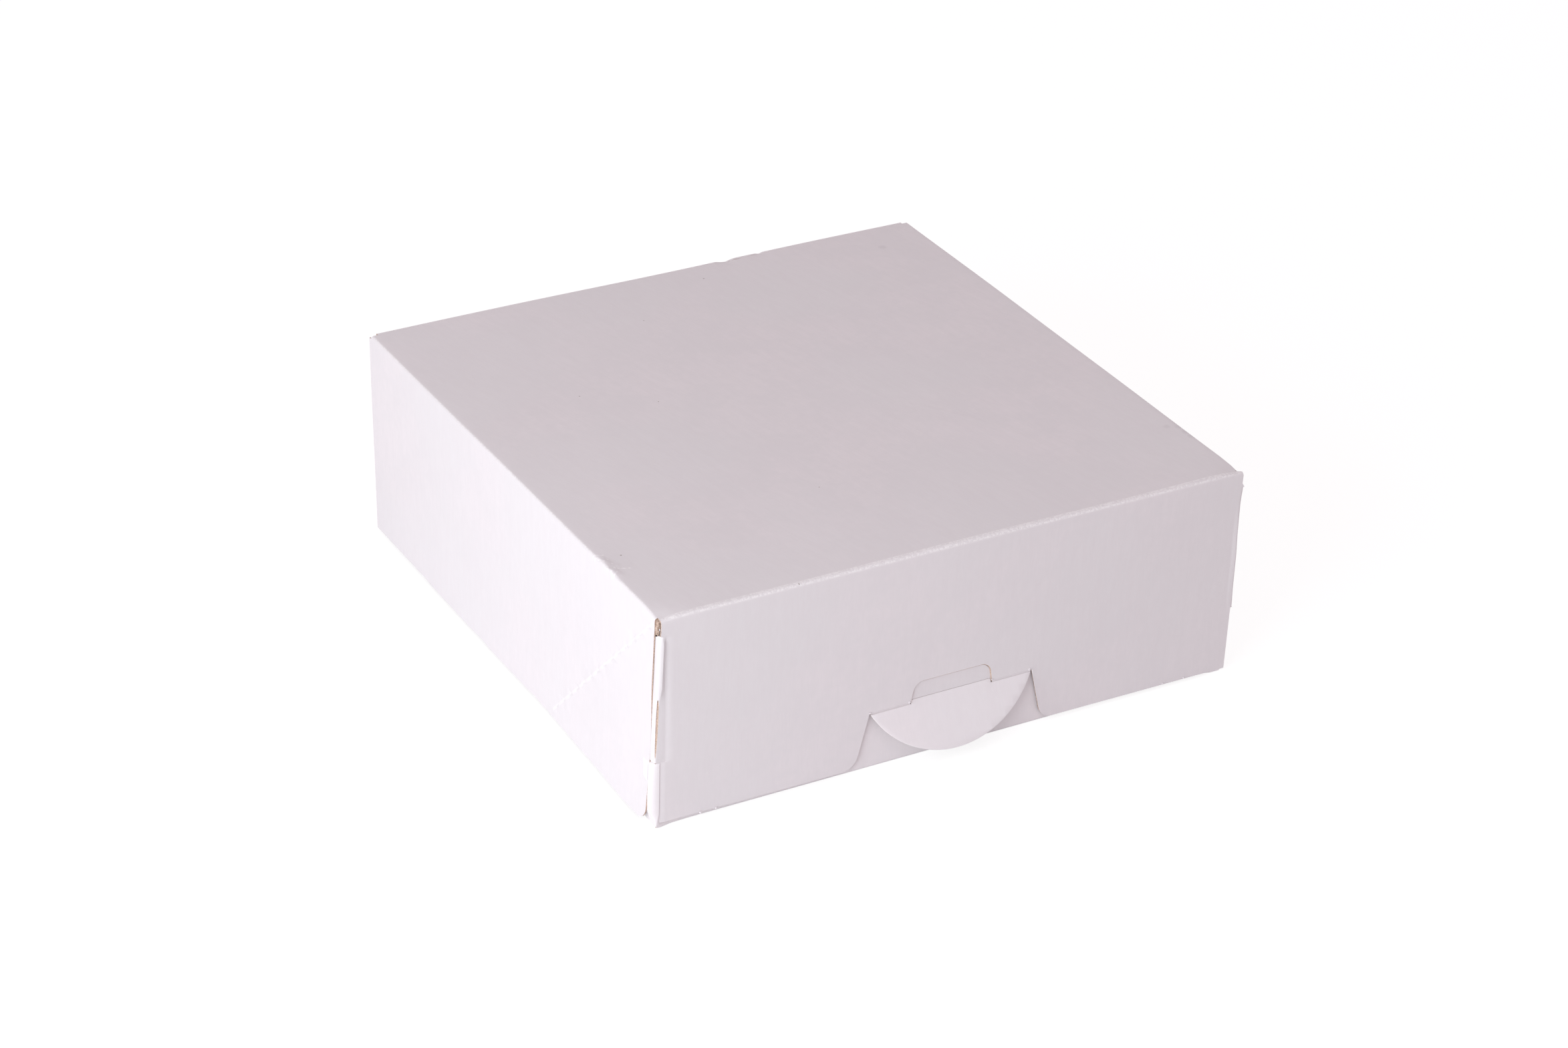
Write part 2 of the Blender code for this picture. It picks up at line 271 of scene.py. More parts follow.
def pick(sheet, kind, test):
    """Selects the verts, edges or faces whose middle passes the test, and nothing else."""
    bpy.ops.mesh.select_mode(type={"verts": "VERT", "edges": "EDGE", "faces": "FACE"}[kind])
    bpy.ops.mesh.select_all(action="DESELECT")
    mesh = bmesh.from_edit_mesh(sheet.data)
    found = [item for item in getattr(mesh, kind) if test(middle(item))]
    for item in found:
        item.select_set(True)
    mesh.select_flush_mode()
    bmesh.update_edit_mesh(sheet.data)
    if not found:
        raise RuntimeError(f"nothing to pick on {sheet.name}")


def near(value, place, reach=same_place):
    return abs(value - place) < reach


def everywhere(point):
    return True


def bump(value, centre, reach):
    """A smooth swell: one at the centre, nothing beyond its reach."""
    share = abs(value - centre) / reach
    return (1 - share * share) ** 2 if share < 1 else 0.0


def rise(value, low, high):
    """A smooth step from nothing at the low end to one at the high end."""
    share = min(max((value - low) / (high - low), 0.0), 1.0)
    return share * share * (3 - 2 * share)


def fall(value, low, high):
    """A smooth step from one at the low end to nothing at the high end."""
    return 1 - rise(value, low, high)


def sideways_to(x):
    """Moves a point to x on its own side of the box."""
    return lambda p: Vector((math.copysign(x, p.x), p.y, p.z))


def upright_at(y):
    """Stands a point of a level drawing up in the plane at y."""
    return lambda p: Vector((p.x, y, p.y))


def turn_about(place, turn, axis):
    return Matrix.Translation(place) @ Matrix.Rotation(turn, 4, axis) @ Matrix.Translation(-place)


def draw_out(move):
    """Extrudes what is picked."""
    bpy.ops.mesh.extrude_region_move(TRANSFORM_OT_translate={"value": move})


def score(sheet, place, across, where=everywhere):
    """Scores the picked panels along the plane through a place."""
    pick(sheet, "faces", where)
    bpy.ops.mesh.bisect(plane_co=place, plane_no=across)


def fold(sheet, edge, centre, axis, angle, onward, steps):
    """Rolls an edge round its crease and draws the panel on from there."""
    pick(sheet, "edges", edge)
    # Spin counts its angle against the axis
    bpy.ops.mesh.spin(steps=steps, angle=-angle, center=centre, axis=axis)
    draw_out(onward)


def shift(sheet, test, move):
    """Moves each vert that passes the test."""
    mesh = bmesh.from_edit_mesh(sheet.data)
    found = [vert for vert in mesh.verts if test(vert.co)]
    for vert in found:
        vert.co = move(vert.co.copy())
    bmesh.update_edit_mesh(sheet.data)
    if not found:
        raise RuntimeError(f"nothing to shift on {sheet.name}")


def grid_lines(low, high, spacing):
    count = max(1, round((high - low) / spacing))
    return [low + (high - low) * step / count for step in range(1, count)]


def score_grid(sheet, spacing, low_z, high_z, extra=()):
    for x in grid_lines(-half_width, half_width, spacing):
        score(sheet, (x, 0, 0), X)
    for y in grid_lines(front, back, spacing):
        score(sheet, (0, y, 0), Y)
    for z in grid_lines(low_z, high_z, spacing):
        score(sheet, (0, 0, z), Z)
    for across, place in extra:
        score(sheet, across * place, across)


def beside_folds(edge, insets):
    """Lines along both upright corner folds, at distances inboard of them."""
    return [(X, side * (edge - inset)) for side in (-1, 1) for inset in insets]


def bow(sheet, board):
    """Lets the board stray from true, the same way for every sheet and on every run."""
    noise.seed_set(noise_seed)

    def strayed(p):
        height = p.z / top
        drift = noise.noise_vector(p * 14) * board.warp * rise(height, 0, 1)
        lean = board.splay * (2 * min(height, 1) - 1)
        from_edge = (p.yz - Vector((back, top))).length
        for x, reach, depth in back_dents:
            drift = drift + (Y + Z) * -depth * bump(p.x, x, reach) * bump(from_edge, 0, 0.006)
        return p + drift + X * lean * p.x / half_width + Y * lean * min(p.y, 0) / half_width

    shift(sheet, everywhere, strayed)


def close_sheet(sheet, outward):
    """Joins doubled points and turns the outer face outward."""
    pick(sheet, "faces", everywhere)
    bpy.ops.mesh.remove_doubles(threshold=same_place / 2)
    bpy.ops.mesh.normals_make_consistent(inside=False)
    mesh = bmesh.from_edit_mesh(sheet.data)
    largest = max(mesh.faces, key=lambda face: face.normal.dot(outward) ** 2 * face.calc_area())
    if largest.normal.dot(outward) < 0:
        bpy.ops.mesh.flip_normals()
    bpy.ops.object.mode_set(mode="OBJECT")


def apply_modifier(piece, modifier):
    select_only(piece)
    bpy.ops.object.modifier_apply(modifier=modifier.name)


def thicken(piece, board, coating):
    """Gives the sheet its thickness, with the plain face inside and the core on its edges."""
    for material in board_materials(board, coating):
        piece.data.materials.append(material)
    wall = piece.modifiers.new("board", "SOLIDIFY")
    wall.thickness = board.thickness
    wall.offset = -1
    wall.use_even_offset = True
    wall.material_offset = 1
    wall.material_offset_rim = 2
    apply_modifier(piece, wall)


def make_board(sheet, board, outward, coating="coated_face"):
    """Turns a finished drawing into a piece of board, with its coated face outward."""
    bow(sheet, board)
    close_sheet(sheet, outward)
    thicken(sheet, board, coating)


def cut(piece, cutter):
    """Cuts a solid out of the piece, and removes the solid."""
    knife = piece.modifiers.new("cut", "BOOLEAN")
    knife.operation = "DIFFERENCE"
    knife.solver = "EXACT"
    knife.object = cutter
    apply_modifier(piece, knife)
    bpy.data.objects.remove(cutter, do_unlink=True)


def finish_piece(piece, body, nodes):
    select_only(piece)
    bpy.ops.object.shade_smooth_by_angle(angle=math.radians(30))
    if nodes:
        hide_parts(*nodes)
    if body:
        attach(piece, body)


def nodes_of(body):
    return frame["record"]["behaviour"]["bodies"][body]


# Lid


def glue_tab_edge(board):
    """Where the fold of the lid's glue tab starts, from the middle of the box."""
    return half_width - board.thickness - board.layer_gap * 2 - board.crease_radius


def lid_sheet(settings):
    board, lid = settings.board, settings.lid
    sheet = fold_lid(board, lid)
    tab_edge = glue_tab_edge(board)
    tip = front + board.crease_radius + lid.tab_length
    diagonal = Vector((0, 1, 1)).normalized()
    for side in (-1, 1):
        for offset in (-0.0009, 0, 0.0009):
            place = Vector((side * half_width, front, top)) + diagonal * offset
            score(sheet, place, diagonal, lambda p: near(p.x, side * half_width))
    lines = [(Z, z) for z in (*lid_heights, top - 0.0028)]
    lines += beside_folds(tab_edge, (0.0005, 0.001, 0.0017, 0.0026))
    lines += [(X, x) for x in back_dent_lines]
    lines += [(Y, y) for y in (side_start - 0.0002, side_start + 0.002, front + 0.0018,
                               lid_rear - 0.0025)]
    score_grid(sheet, board.grid, flap_foot, top - board.crease_radius, lines)

    blister(sheet)
    bulge_corner(sheet, board, lid, tab_edge, tip)
    for side, flare in ((-1, lid.flare_left), (1, lid.flare_right)):
        press_corner(sheet, lid, side)
        perforate(sheet, lid, side)
        swing_gusset(sheet, lid, side, flare, tab_edge, tip)
    stretch_right_corner(sheet, board, lid.tab_head)
    raise_lock_crease(sheet, settings.lock)
    trim_feet(sheet, lid)
    make_board(sheet, board, Z)
    flatten_perforation(sheet)
    coat_free_edges(sheet, lid)
    cut(sheet, notch_cutter(settings))
    cut(sheet, spindle_cutter(board, lid.flare_left, tab_edge))
    add_lumps(sheet, board)
    finish_piece(sheet, "lid", nodes_of("lid"))


def flatten_perforation(sheet):
    """Puts back the inner points of the perforation that the even thickness throws inward."""
    behind_corner = -0.09
    for vert in sheet.data.vertices:
        p = vert.co
        on_line = near(p.y + p.z, front + top, 0.004) and p.y > behind_corner
        if on_line and 0.1 < abs(p.x) < half_width - 0.0013:
            p.x = math.copysign(half_width - 0.0007, p.x)


def coat_free_edges(sheet, lid):
    """Draws the coating round the front flap's free edges, below its glue tabs."""
    for panel in sheet.data.polygons:
        low = panel.center.z < lid.tab_foot
        if low and abs(panel.center.x) > 0.108 and panel.center.y < front + 0.001:
            panel.material_index = 0


def fold_lid(board, lid):
    """The lid's panels, folded down from the top with the glue tabs folded back."""
    radius, steps = board.crease_radius, board.fold_steps
    inner = half_width - radius
    quarter = math.pi / 2
    drop = top - radius - flap_foot

    sheet = flat_sheet("lid_sheet", -inner, inner, front + radius, lid_rear, top)
    score(sheet, (0, side_start, 0), Y)
    fold(sheet, lambda p: near(p.y, front + radius), (0, front + radius, top - radius), X,
         quarter, Z * -drop, steps)
    for side in (-1, 1):
        fold(sheet, lambda p: near(p.x, side * inner) and p.y > side_start and near(p.z, top),
             (side * inner, 0, top - radius), Y, quarter * side, Z * -drop, steps)

    def on_front(p):
        return near(p.y, front)

    def on_side(p):
        return near(abs(p.x), half_width)

    def on_free_end(p):
        return on_front(p) and near(abs(p.x), inner)

    step = board.thickness / 2
    for height in (lid.tab_head, lid.tab_head - step, lid.tab_foot + step, lid.tab_foot):
        score(sheet, (0, 0, height), Z, on_front)
    tab_edge = glue_tab_edge(board)
    tab_low, tab_high = lid.tab_foot + step / 2, lid.tab_head - step / 2
    shift(sheet, lambda p: on_free_end(p) and tab_low < p.z < tab_high, sideways_to(tab_edge))
    shift(sheet, lambda p: on_free_end(p) and p.z < tab_low,
          sideways_to(half_width - lid.free_inset))
    for side in (-1, 1):
        fold(sheet, lambda p: near(p.x, side * tab_edge) and tab_low < p.z < tab_high,
             (side * tab_edge, front + radius, 0), Z, quarter * side, Y * lid.tab_length, steps)
    tip = front + radius + lid.tab_length
    taper_tab(sheet, lambda p: near(p.y, tip) and p.z < top - radius, 0.006, 0.013)

    pick(sheet, "verts", lambda p: on_side(p) and near(p.y, side_start) and near(p.z, flap_foot))
    bpy.ops.mesh.bevel(offset=lid.corner_radius, segments=6, affect="VERTICES")
    shift(sheet, lambda p: on_side(p) and near(p.y, lid_rear),
          lambda p: Vector((p.x, back - lid.back_taper * (top - p.z) / (top - flap_foot), p.z)))
    return sheet


def taper_tab(sheet, at_tip, raised, lowered):
    """Narrows a glue tab's tip from below and from above."""
    half_height = 0.05
    shift(sheet, at_tip,
          lambda p: Vector((p.x, p.y, p.z + raised if p.z < half_height else p.z - lowered)))


def blister(sheet):
    """Crumples the top's left edge where it was crushed."""
    rows, first_row, row_step = 9, -0.0845, 0.0025
    centre_x, centre_y = -0.1085, -0.0735

    def beside(p):
        return p.x < -0.104 and -0.088 < p.y < -0.06 and p.z > top - 0.0012

    for x in (-0.109, -0.1083, -0.1075, -0.1066, -0.1055):
        score(sheet, (x, 0, 0), X, beside)
    for row in range(rows):
        score(sheet, (0, first_row + row_step * row, 0), Y, beside)

    def crumpled(p):
        share = bump(p.y, centre_y, 0.0095) * bump(p.x, centre_x, 0.0042)
        lift = 0.0004 + 0.0009 * noise.noise(p * 420)
        return p + Z * share * lift - X * share * 0.0003 * noise.noise(p * 500)

    shift(sheet, beside, crumpled)


def bulge_corner(sheet, board, lid, tab_edge, tip):
    """Rounds the left corner's fold out past the flap, with a groove beside it.

    Below the roll the fold is cut through, so there it is sharp."""
    radius = board.crease_radius
    rolled = front + radius + same_place
    centre = Vector((-tab_edge, front + radius, 0))
    sharp = centre + Vector((-1, -1, 0)) * radius * 0.45
    sharpness = 0.55

    def in_corner(p):
        fold = p.y < rolled and p.z > lid.tab_foot - same_place
        tab = p.y < tip + same_place and -p.x > tab_edge
        tab = tab and lid.tab_foot - same_place < p.z < lid.tab_head + same_place
        return 0.0005 - half_width < p.x < 0.004 - tab_edge and (fold or tab)

    def bulged(p):
        upper = rise(p.z, 0.0475, 0.052)
        below_head = fall(p.z, lid.tab_head - 0.0045, lid.tab_head)
        inboard = tab_edge + p.x
        if p.z > top - radius:
            return p
        if p.y > rolled:
            return p - X * lid.roll * fall(p.y, -0.107, -0.1)
        if inboard > same_place:
            steep = fall(inboard, 0.0004, 0.0024)
            soft = 0.5 * bump(inboard, 0.0007, 0.0018)
            return p + Y * lid.groove * below_head * (upper * steep + (1 - upper) * soft)
        across = Vector((p.x - centre.x, p.y - centre.y, 0))
        wide = centre + across * (1 + lid.roll * below_head / radius)
        tight = sharp + across * sharpness
        return wide.lerp(tight, 1 - upper) + Z * p.z

    shift(sheet, in_corner, bulged)


def press_corner(sheet, lid, side):
    """Presses one of the top's front corners down."""
    corner = Vector((side * half_width, front, top))
    reach = 0.009
    shift(sheet, lambda p: (p - corner).length < reach,
          lambda p: p - Z * lid.crush * bump((p - corner).length, 0, reach))


def stretch_right_corner(sheet, board, tab_head):
    """Draws the right corner's fold out past the side flap."""
    radius = board.crease_radius
    panel_end, fold_start = 0.1035, 0.1078
    usual_reach, head_inset = 0.0024, 0.00045

    def stretched(p):
        reach = usual_reach + 0.0003 * fall(p.z, 0.024, 0.034) + 0.0004 * fall(p.z, 0.0446, 0.056)
        reach += 0.0004 * rise(p.z, 0.066, tab_head) if p.z < tab_head + same_place else -head_inset
        reach *= rise(p.x, panel_end, fold_start) * fall(p.y, front + radius, side_start - 0.0002)
        swell = 0.0003 * bump(p.x, 0.1084, 0.0012) * fall(p.y, front, front + radius)
        return p + X * reach - Y * swell * rise(p.z, 0.022, 0.032) * fall(p.z, 0.055, 0.065)

    shift(sheet, lambda p: p.x > panel_end and p.y < side_start - same_place, stretched)


def perforate(sheet, lid, side):
    """Dents the slits of the diagonal crease and raises the bridges between them."""
    slits, half_slit, slit_end = 14, 0.16, 0.22
    down = (Y - Z).normalized()
    corner = Vector((side * half_width, front, top))

    def on_diagonal(p):
        return near(p.x, side * half_width) and near(p.y + p.z, front + top, 0.001)

    pitch, start = lid.slit_pitch, lid.slit_start
    for slit in range(slits):
        for along in (-slit_end, -half_slit, 0, half_slit, slit_end, 0.5):
            place = corner + down * (start + (slit + along) * pitch)
            score(sheet, place, down, on_diagonal)

    def dented(p):
        along = ((p - corner).dot(down) - start) / pitch
        in_row = -0.5 < along < slits - 0.5
        slit = fall(abs(along - round(along)), half_slit, slit_end)
        return p + X * side * (lid.ridge - (lid.ridge + lid.slit_depth) * slit * in_row)

    shift(sheet, lambda p: on_diagonal(p) and near(p.y + p.z, front + top, 0.0003), dented)


def swing_gusset(sheet, lid, side, flare, tab_edge, tip):
    """Swings a gusset and its glue tab out about the perforated crease."""
    swing = turn_about(Vector((side * half_width, front, top)), side * flare, Z - Y)
    pinch = 0.0006 if side < 0 else 0

    def swings(p):
        gusset = near(p.x, side * half_width) and p.y + p.z < front + top - same_place
        tab = side * p.x > tab_edge - same_place and p.y < tip + same_place
        tab = tab and p.z > lid.tab_foot - same_place
        return p.z < lid.tab_head + same_place and (gusset or tab)

    def swung(p):
        edge = fall(p.y, side_start, side_start + 0.02)
        if near(p.x, side * half_width) and p.y > side_start - same_place:
            return swing @ p - X * side * pinch * bump(p.z, 0.031, 0.024) * edge
        return swing @ p

    shift(sheet, swings, swung)


def raise_lock_crease(sheet, lock):
    """Raises the flap a little above the tab's crease, as the scored board does."""
    height = 0.00016

    def raised(p):
        beside = rise(abs(p.x), lock.hump_half - 0.001, lock.hump_half + 0.001)
        beside *= fall(abs(p.x), lock.half_width, lock.half_width + 0.002)
        return p - Y * height * beside * bump(p.z, lock.height + 0.0007, 0.0016)

    shift(sheet, lambda p: near(p.y, front) and near(p.z, lock.height, 0.003), raised)


def foot_height(lid, x):
    """How much lower the front flap's foot reaches at x."""
    return 0.00025 + lid.foot_slope * x


def trim_feet(sheet, lid):
    """Lets the front flap's foot slope, and the side flaps reach lower, as the board was cut."""
    free_edge = half_width - lid.free_inset
    below_tab = lid.tab_foot - same_place
    shift(sheet, lambda p: near(p.x, -free_edge) and near(p.y, front) and p.z < below_tab,
          lambda p: p - X * 0.00045 + Y * 0.0003)
    foot_zone = 0.01
    shift(sheet, lambda p: p.y < front + 0.001 and p.z < foot_zone,
          lambda p: p - Z * foot_height(lid, p.x) * fall(p.z, flap_foot, foot_zone))

    def lowered(p):
        drop = lid.side_drop * (1 - 0.7 * rise(p.y, 0.03, 0.1)) + 0.0003 * noise.noise(p * 60)
        for place in side_nicks:
            drop -= 0.0004 * bump(p.y, place, 0.004)
        return p - Z * drop * fall(p.z, flap_foot, 0.02) * (0.2 + 0.8 * rise(p.y, -0.106, -0.088))

    shift(sheet, lambda p: abs(p.x) > half_width - 0.0002 and p.y > side_start - same_place
          and p.z < 0.02, lowered)


def round_lips(piece, width):
    """Bevels the outer edge of the cut faces, where the coating is pulled over by the die."""
    select_only(piece)
    bpy.ops.object.mode_set(mode="EDIT")
    bpy.ops.mesh.select_mode(type="EDGE")
    bpy.ops.mesh.select_all(action="DESELECT")
    mesh = bmesh.from_edit_mesh(piece.data)
    for edge in mesh.edges:
        edge.select_set({face.material_index for face in edge.link_faces} == {0, 2})
    mesh.select_flush_mode()
    bmesh.update_edit_mesh(piece.data)
    bpy.ops.mesh.bevel(offset=width, segments=2, affect="EDGES", clamp_overlap=False, material=0)
    bpy.ops.object.mode_set(mode="OBJECT")


def lump(board, place, size, face_material, wrinkle):
    """A small nub of board, to be joined to a sheet."""
    noise.seed_set(noise_seed)
    bpy.ops.object.select_all(action="DESELECT")
    bpy.ops.mesh.primitive_ico_sphere_add(subdivisions=3, radius=1, location=place)
    made = bpy.context.object
    settle(made, size)
    bpy.ops.object.mode_set(mode="EDIT")
    shift(made, everywhere, lambda p: p + noise.noise_vector(p * 1800) * wrinkle)
    bpy.ops.object.mode_set(mode="OBJECT")
    for material in board_materials(board):
        made.data.materials.append(material)
    for face in made.data.polygons:
        face.material_index = face_material
    return made


def add_lumps(sheet, board):
    """Adds the nubs that the die left on the lid's edges, and the torn core in its left corner."""
    lumps = [lump(board, place, (size * 1.15, 0.0003, size * 0.8), 0, size / 2)
             for place, size in lid_nubs]
    hole = lip_corner - X * 0.0001 + Y * 0.0007
    lumps.append(lump(board, hole - Z * 0.0007, (0.0009, 0.0007, 0.0032), 2, 0.0004))
    lumps.append(lump(board, hole - Z * 0.0012 + X * 0.0002, (0.0004, 0.0009, 0.0008), 0, 0.0003))
    select_only(*lumps, sheet)
    bpy.ops.object.join()


def core_faces(cutter):
    """Gives the cutter the core's place among a sheet's three materials."""
    for _ in ("coated", "inside", "core"):
        cutter.data.materials.append(None)
    for face in cutter.data.polygons:
        face.material_index = 2


def spindle_cutter(board, flare, tab_edge):
    """A slender spindle that opens the left corner's fold below its roll."""
    corner = Vector((-half_width, front, top))
    place = Vector((-tab_edge, front + board.crease_radius, 0.0375))
    place += Vector((-1, -1, 0)).normalized() * board.crease_radius * 1.27
    place = corner + Matrix.Rotation(-flare, 3, Z - Y) @ (place - corner)
    bpy.ops.object.select_all(action="DESELECT")
    bpy.ops.mesh.primitive_uv_sphere_add(segments=12, ring_count=16, radius=1, location=place)
    cutter = bpy.context.object
    settle(cutter, (0.0005, 0.0005, 0.0128), (0, flare * 0.75, 0))
    core_faces(cutter)
    return cutter


def notch_cutter(settings):
    """The notch round the lock tab and the hump above it, as a solid through the front flap."""
    lock = settings.lock
    crease = lock.height + lock.slack
    notch_top = lock.half_width + lock.gap
    notch_foot = notch_top + (crease - flap_foot) * math.tan(lock.notch_slope)
    overrun = 0.01
    hump_top = crease + lock.hump_rise
    cutter = flat_sheet("notch_cutter", -half_width, half_width, flap_foot - overrun, flap_foot, 0)
    for x in (-notch_foot, -lock.hump_half, lock.hump_half, notch_foot):
        score(cutter, (x, 0, 0), X)
    pick(cutter, "edges", lambda p: near(p.y, flap_foot) and abs(p.x) < notch_foot)
    draw_out(Y * (crease - flap_foot))
    shift(cutter, lambda p: near(p.y, crease) and near(abs(p.x), notch_foot),
          sideways_to(notch_top))
    pick(cutter, "edges", lambda p: near(p.y, crease) and near(p.x, 0))
    draw_out(Y * lock.hump_rise)
    shift(cutter, lambda p: near(p.y, hump_top),
          lambda p: p - X * math.copysign(lock.hump_taper, p.x))
    pick(cutter, "faces", everywhere)
    bpy.ops.mesh.dissolve_limited(angle_limit=math.radians(1))
    shift(cutter, lambda p: near(p.y, flap_foot),
          lambda p: p - Y * (foot_height(settings.lid, p.x)
                             + 0.003 * (abs(p.x) > notch_foot + 0.001)))
    pick(cutter, "verts", lambda p: near(abs(p.x), notch_foot) and near(p.y, flap_foot, 0.001))
    tangent = lock.notch_radius * math.tan((math.pi / 2 - lock.notch_slope) / 2)
    bpy.ops.mesh.bevel(offset=tangent, segments=8, affect="VERTICES")
    pick(cutter, "verts", lambda p: near(p.y, hump_top))
    bpy.ops.mesh.bevel(offset=lock.hump_radius, segments=8, affect="VERTICES")
    stand_up(cutter, front + lock.lip, settings.board.thickness * 3, lock.lip * 3,
             crease + lock.hump_rise / 4)
    return cutter


def stand_up(cutter, face, depth, flare=0.0, core_above=math.inf):
    """Turns a drawn outline up into the plane of the front and draws it on to a solid.

    A flare opens the solid's outer end, which bevels the edge that it cuts. Above the height
    given, the bevel shows the core."""
    shift(cutter, everywhere, upright_at(face))
    pick(cutter, "faces", everywhere)
    draw_out(Y * depth)
    if flare:
        pick(cutter, "faces", lambda p: near(p.y, face))
        draw_out(Y * -flare)
        widen(cutter, lambda p: near(p.y, face - flare), flare)
    pick(cutter, "faces", everywhere)
    bpy.ops.mesh.normals_make_consistent(inside=False)
    bpy.ops.object.mode_set(mode="OBJECT")
    core_faces(cutter)
    for panel in cutter.data.polygons:
        if panel.center.y < face - same_place and panel.center.z < core_above:
            panel.material_index = 0


def widen(cutter, test, width):
    """Moves the outline of one upright face outward in its plane."""
    mesh = bmesh.from_edit_mesh(cutter.data)
    cap = next(face for face in mesh.faces if test(middle(face)))
    places = [vert.co.copy() for vert in cap.verts]
    turn = sum(a.x * b.z - b.x * a.z for a, b in zip(places, places[1:] + places[:1]))
    for index, vert in enumerate(cap.verts):
        before = (places[index] - places[index - 1]).normalized()
        after = (places[(index + 1) % len(places)] - places[index]).normalized()
        out = Vector((before.z + after.z, 0, -before.x - after.x)) * math.copysign(1, turn)
        vert.co += out * width / max(1 + before.dot(after), 0.3)
    bmesh.update_edit_mesh(cutter.data)


# Tray


def tray_sheet(settings):
    board = settings.board
    radius, steps = board.crease_radius, board.fold_steps
    quarter = math.pi / 2
    glue_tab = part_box("tray_front_right_glue_tab")
    tab_plane, tab_rear, tab_head = glue_tab[1].x, glue_tab[1].y, glue_tab[1].z
    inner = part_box("tray_right_wall")[1].x - radius
    tab_edge = tab_plane - radius
    sheet = flat_sheet("tray_sheet", -inner, inner, tray_front + radius, back - radius, 0)
    for end, face, height in ((-1, tray_front, wall_top), (1, back, back_wall_top)):
        fold(sheet, lambda p: near(p.y, face - end * radius), (0, face - end * radius, radius), X,
             quarter * end, Z * (height - radius), steps)
    for side in (-1, 1):
        fold(sheet, lambda p: near(p.x, side * inner) and near(p.z, 0),
             (side * inner, 0, radius), Y, quarter * -side, Z * (wall_top - radius), steps)

    def on_end(p):
        return near(p.y, tray_front) or near(p.y, back)

    score(sheet, (0, 0, tab_head), Z, on_end)
    shift(sheet, lambda p: on_end(p) and near(abs(p.x), inner), sideways_to(tab_edge))
    tab_length = tab_rear - tray_front - radius
    for end, face in ((-1, tray_front), (1, back)):
        for side in (-1, 1):
            fold(sheet, lambda p: near(p.y, face) and near(p.x, side * tab_edge) and p.z < tab_head,
                 (side * tab_edge, face - end * radius, 0), Z, -quarter * side * end,
                 Y * (-end * tab_length), steps)
            tip = face - end * (radius + tab_length)
            taper_tab(sheet, lambda p: near(p.y, tip) and near(p.x, side * tab_plane),
                      0.0205, 0.004)
    lines = beside_folds(tab_edge, (0.0005, 0.0012, 0.0022, 0.0035))
    lines += [(Y, y) for y in (tray_front + 0.0017, tray_front + 0.003, tray_front + 0.0065)]
    lines += [(Z, z) for z in tray_heights]
    lines += [(X, x) for x in back_dent_lines]
    score_grid(sheet, board.grid, radius, wall_top, lines)
    stretch_corners(sheet, board, inner, tab_edge, settings.lid.flare_left)
    # The tray takes the lighter copy of the coating, which is painted light
    make_board(sheet, board, -Z, "coated_clean")
    cut(sheet, slot_cutter(settings))
    nodes = [node for node in nodes_of("tray") if node != "back_crease"]
    finish_piece(sheet, "tray", nodes)


def stretch_corners(sheet, board, inner, tab_edge, flare):
    """Rounds the tray's front corners out under the lid, down to a point at the table."""
    radius = board.crease_radius
    turned = tray_front + radius
    stretch_foot, stretch_head = 0.0243, 0.0277
    mitre_corner, round_corner = 0.1089, 0.1098

    def on_floor(p, side):
        """The base's rim, drawn out to a mitre at the corner."""
        out = max(turned - p.y, abs(p.x) - inner)
        if p.y > turned + same_place:
            beside = Vector((side * (mitre_corner + out), p.y, p.z))
            return p.lerp(beside, fall(p.y, turned, turned + 0.012))
        return Vector((side * (mitre_corner + out), -mitre_corner - out, p.z + 0.0002))

    def on_front(p, side, inboard, share):
        """The front wall beside the fold, drawn forward and out."""
        spread = fall(inboard, 0, 0.005) * share
        low = fall(p.z, radius * 0.8, 0.0025)
        high_forth = 0.0003 * fall(inboard, 0.0003, 0.004) + 0.0009 * fall(inboard, 0.0003, 0.0012)
        forth = 0.0012 * low * spread + (1 - low) * share * high_forth
        return p + X * side * (0.0023 if side < 0 else 0.0011) * spread - Y * forth

    def pushed(p):
        side = math.copysign(1, p.x)
        share = fall(p.z, stretch_foot, stretch_head)
        inboard = tab_edge - abs(p.x)
        on_fold = near(p.z, radius) and abs(p.x) > tab_edge - same_place
        if p.z < radius + same_place and abs(p.x) > inner - same_place and not on_fold:
            return on_floor(p, side)
        if inboard > same_place:
            return p if p.y > turned + same_place else on_front(p, side, inboard, share)
        below_diagonal = max(top - p.z - (p.y - front), 0) / math.sqrt(2)
        flared = math.sin(flare) * below_diagonal if side < 0 else 0.0002
        grown = rise(p.z, radius, 0.006)
        leaning = board.splay * (1 - 2 * p.z / top)
        wide = round_corner + (flared * 0.95 - 0.0002) * rise(p.z, 0.001, 0.009) + leaning
        deep = radius * (0.15 + (1.5 if side < 0 else 1.2) * grown)
        broad = deep + max(wide - deep - 0.1091, 0) * grown
        if p.y > turned + same_place:
            beside = Vector((side * wide, p.y, p.z))
            return p.lerp(beside, share * fall(p.y, -0.104, -0.092))
        across = (p - Vector((side * tab_edge, turned, p.z))) / radius
        fat = Vector((side * (wide - broad), deep - half_width, p.z))
        return p.lerp(fat + Vector((across.x * broad, across.y * deep, 0)), share)

    def in_corner(p):
        near_fold = abs(p.x) > tab_edge - 0.0052 or p.z < radius
        return p.y < -0.09 and p.z < stretch_head and near_fold and abs(p.x) > 0.1

    shift(sheet, in_corner, pushed)


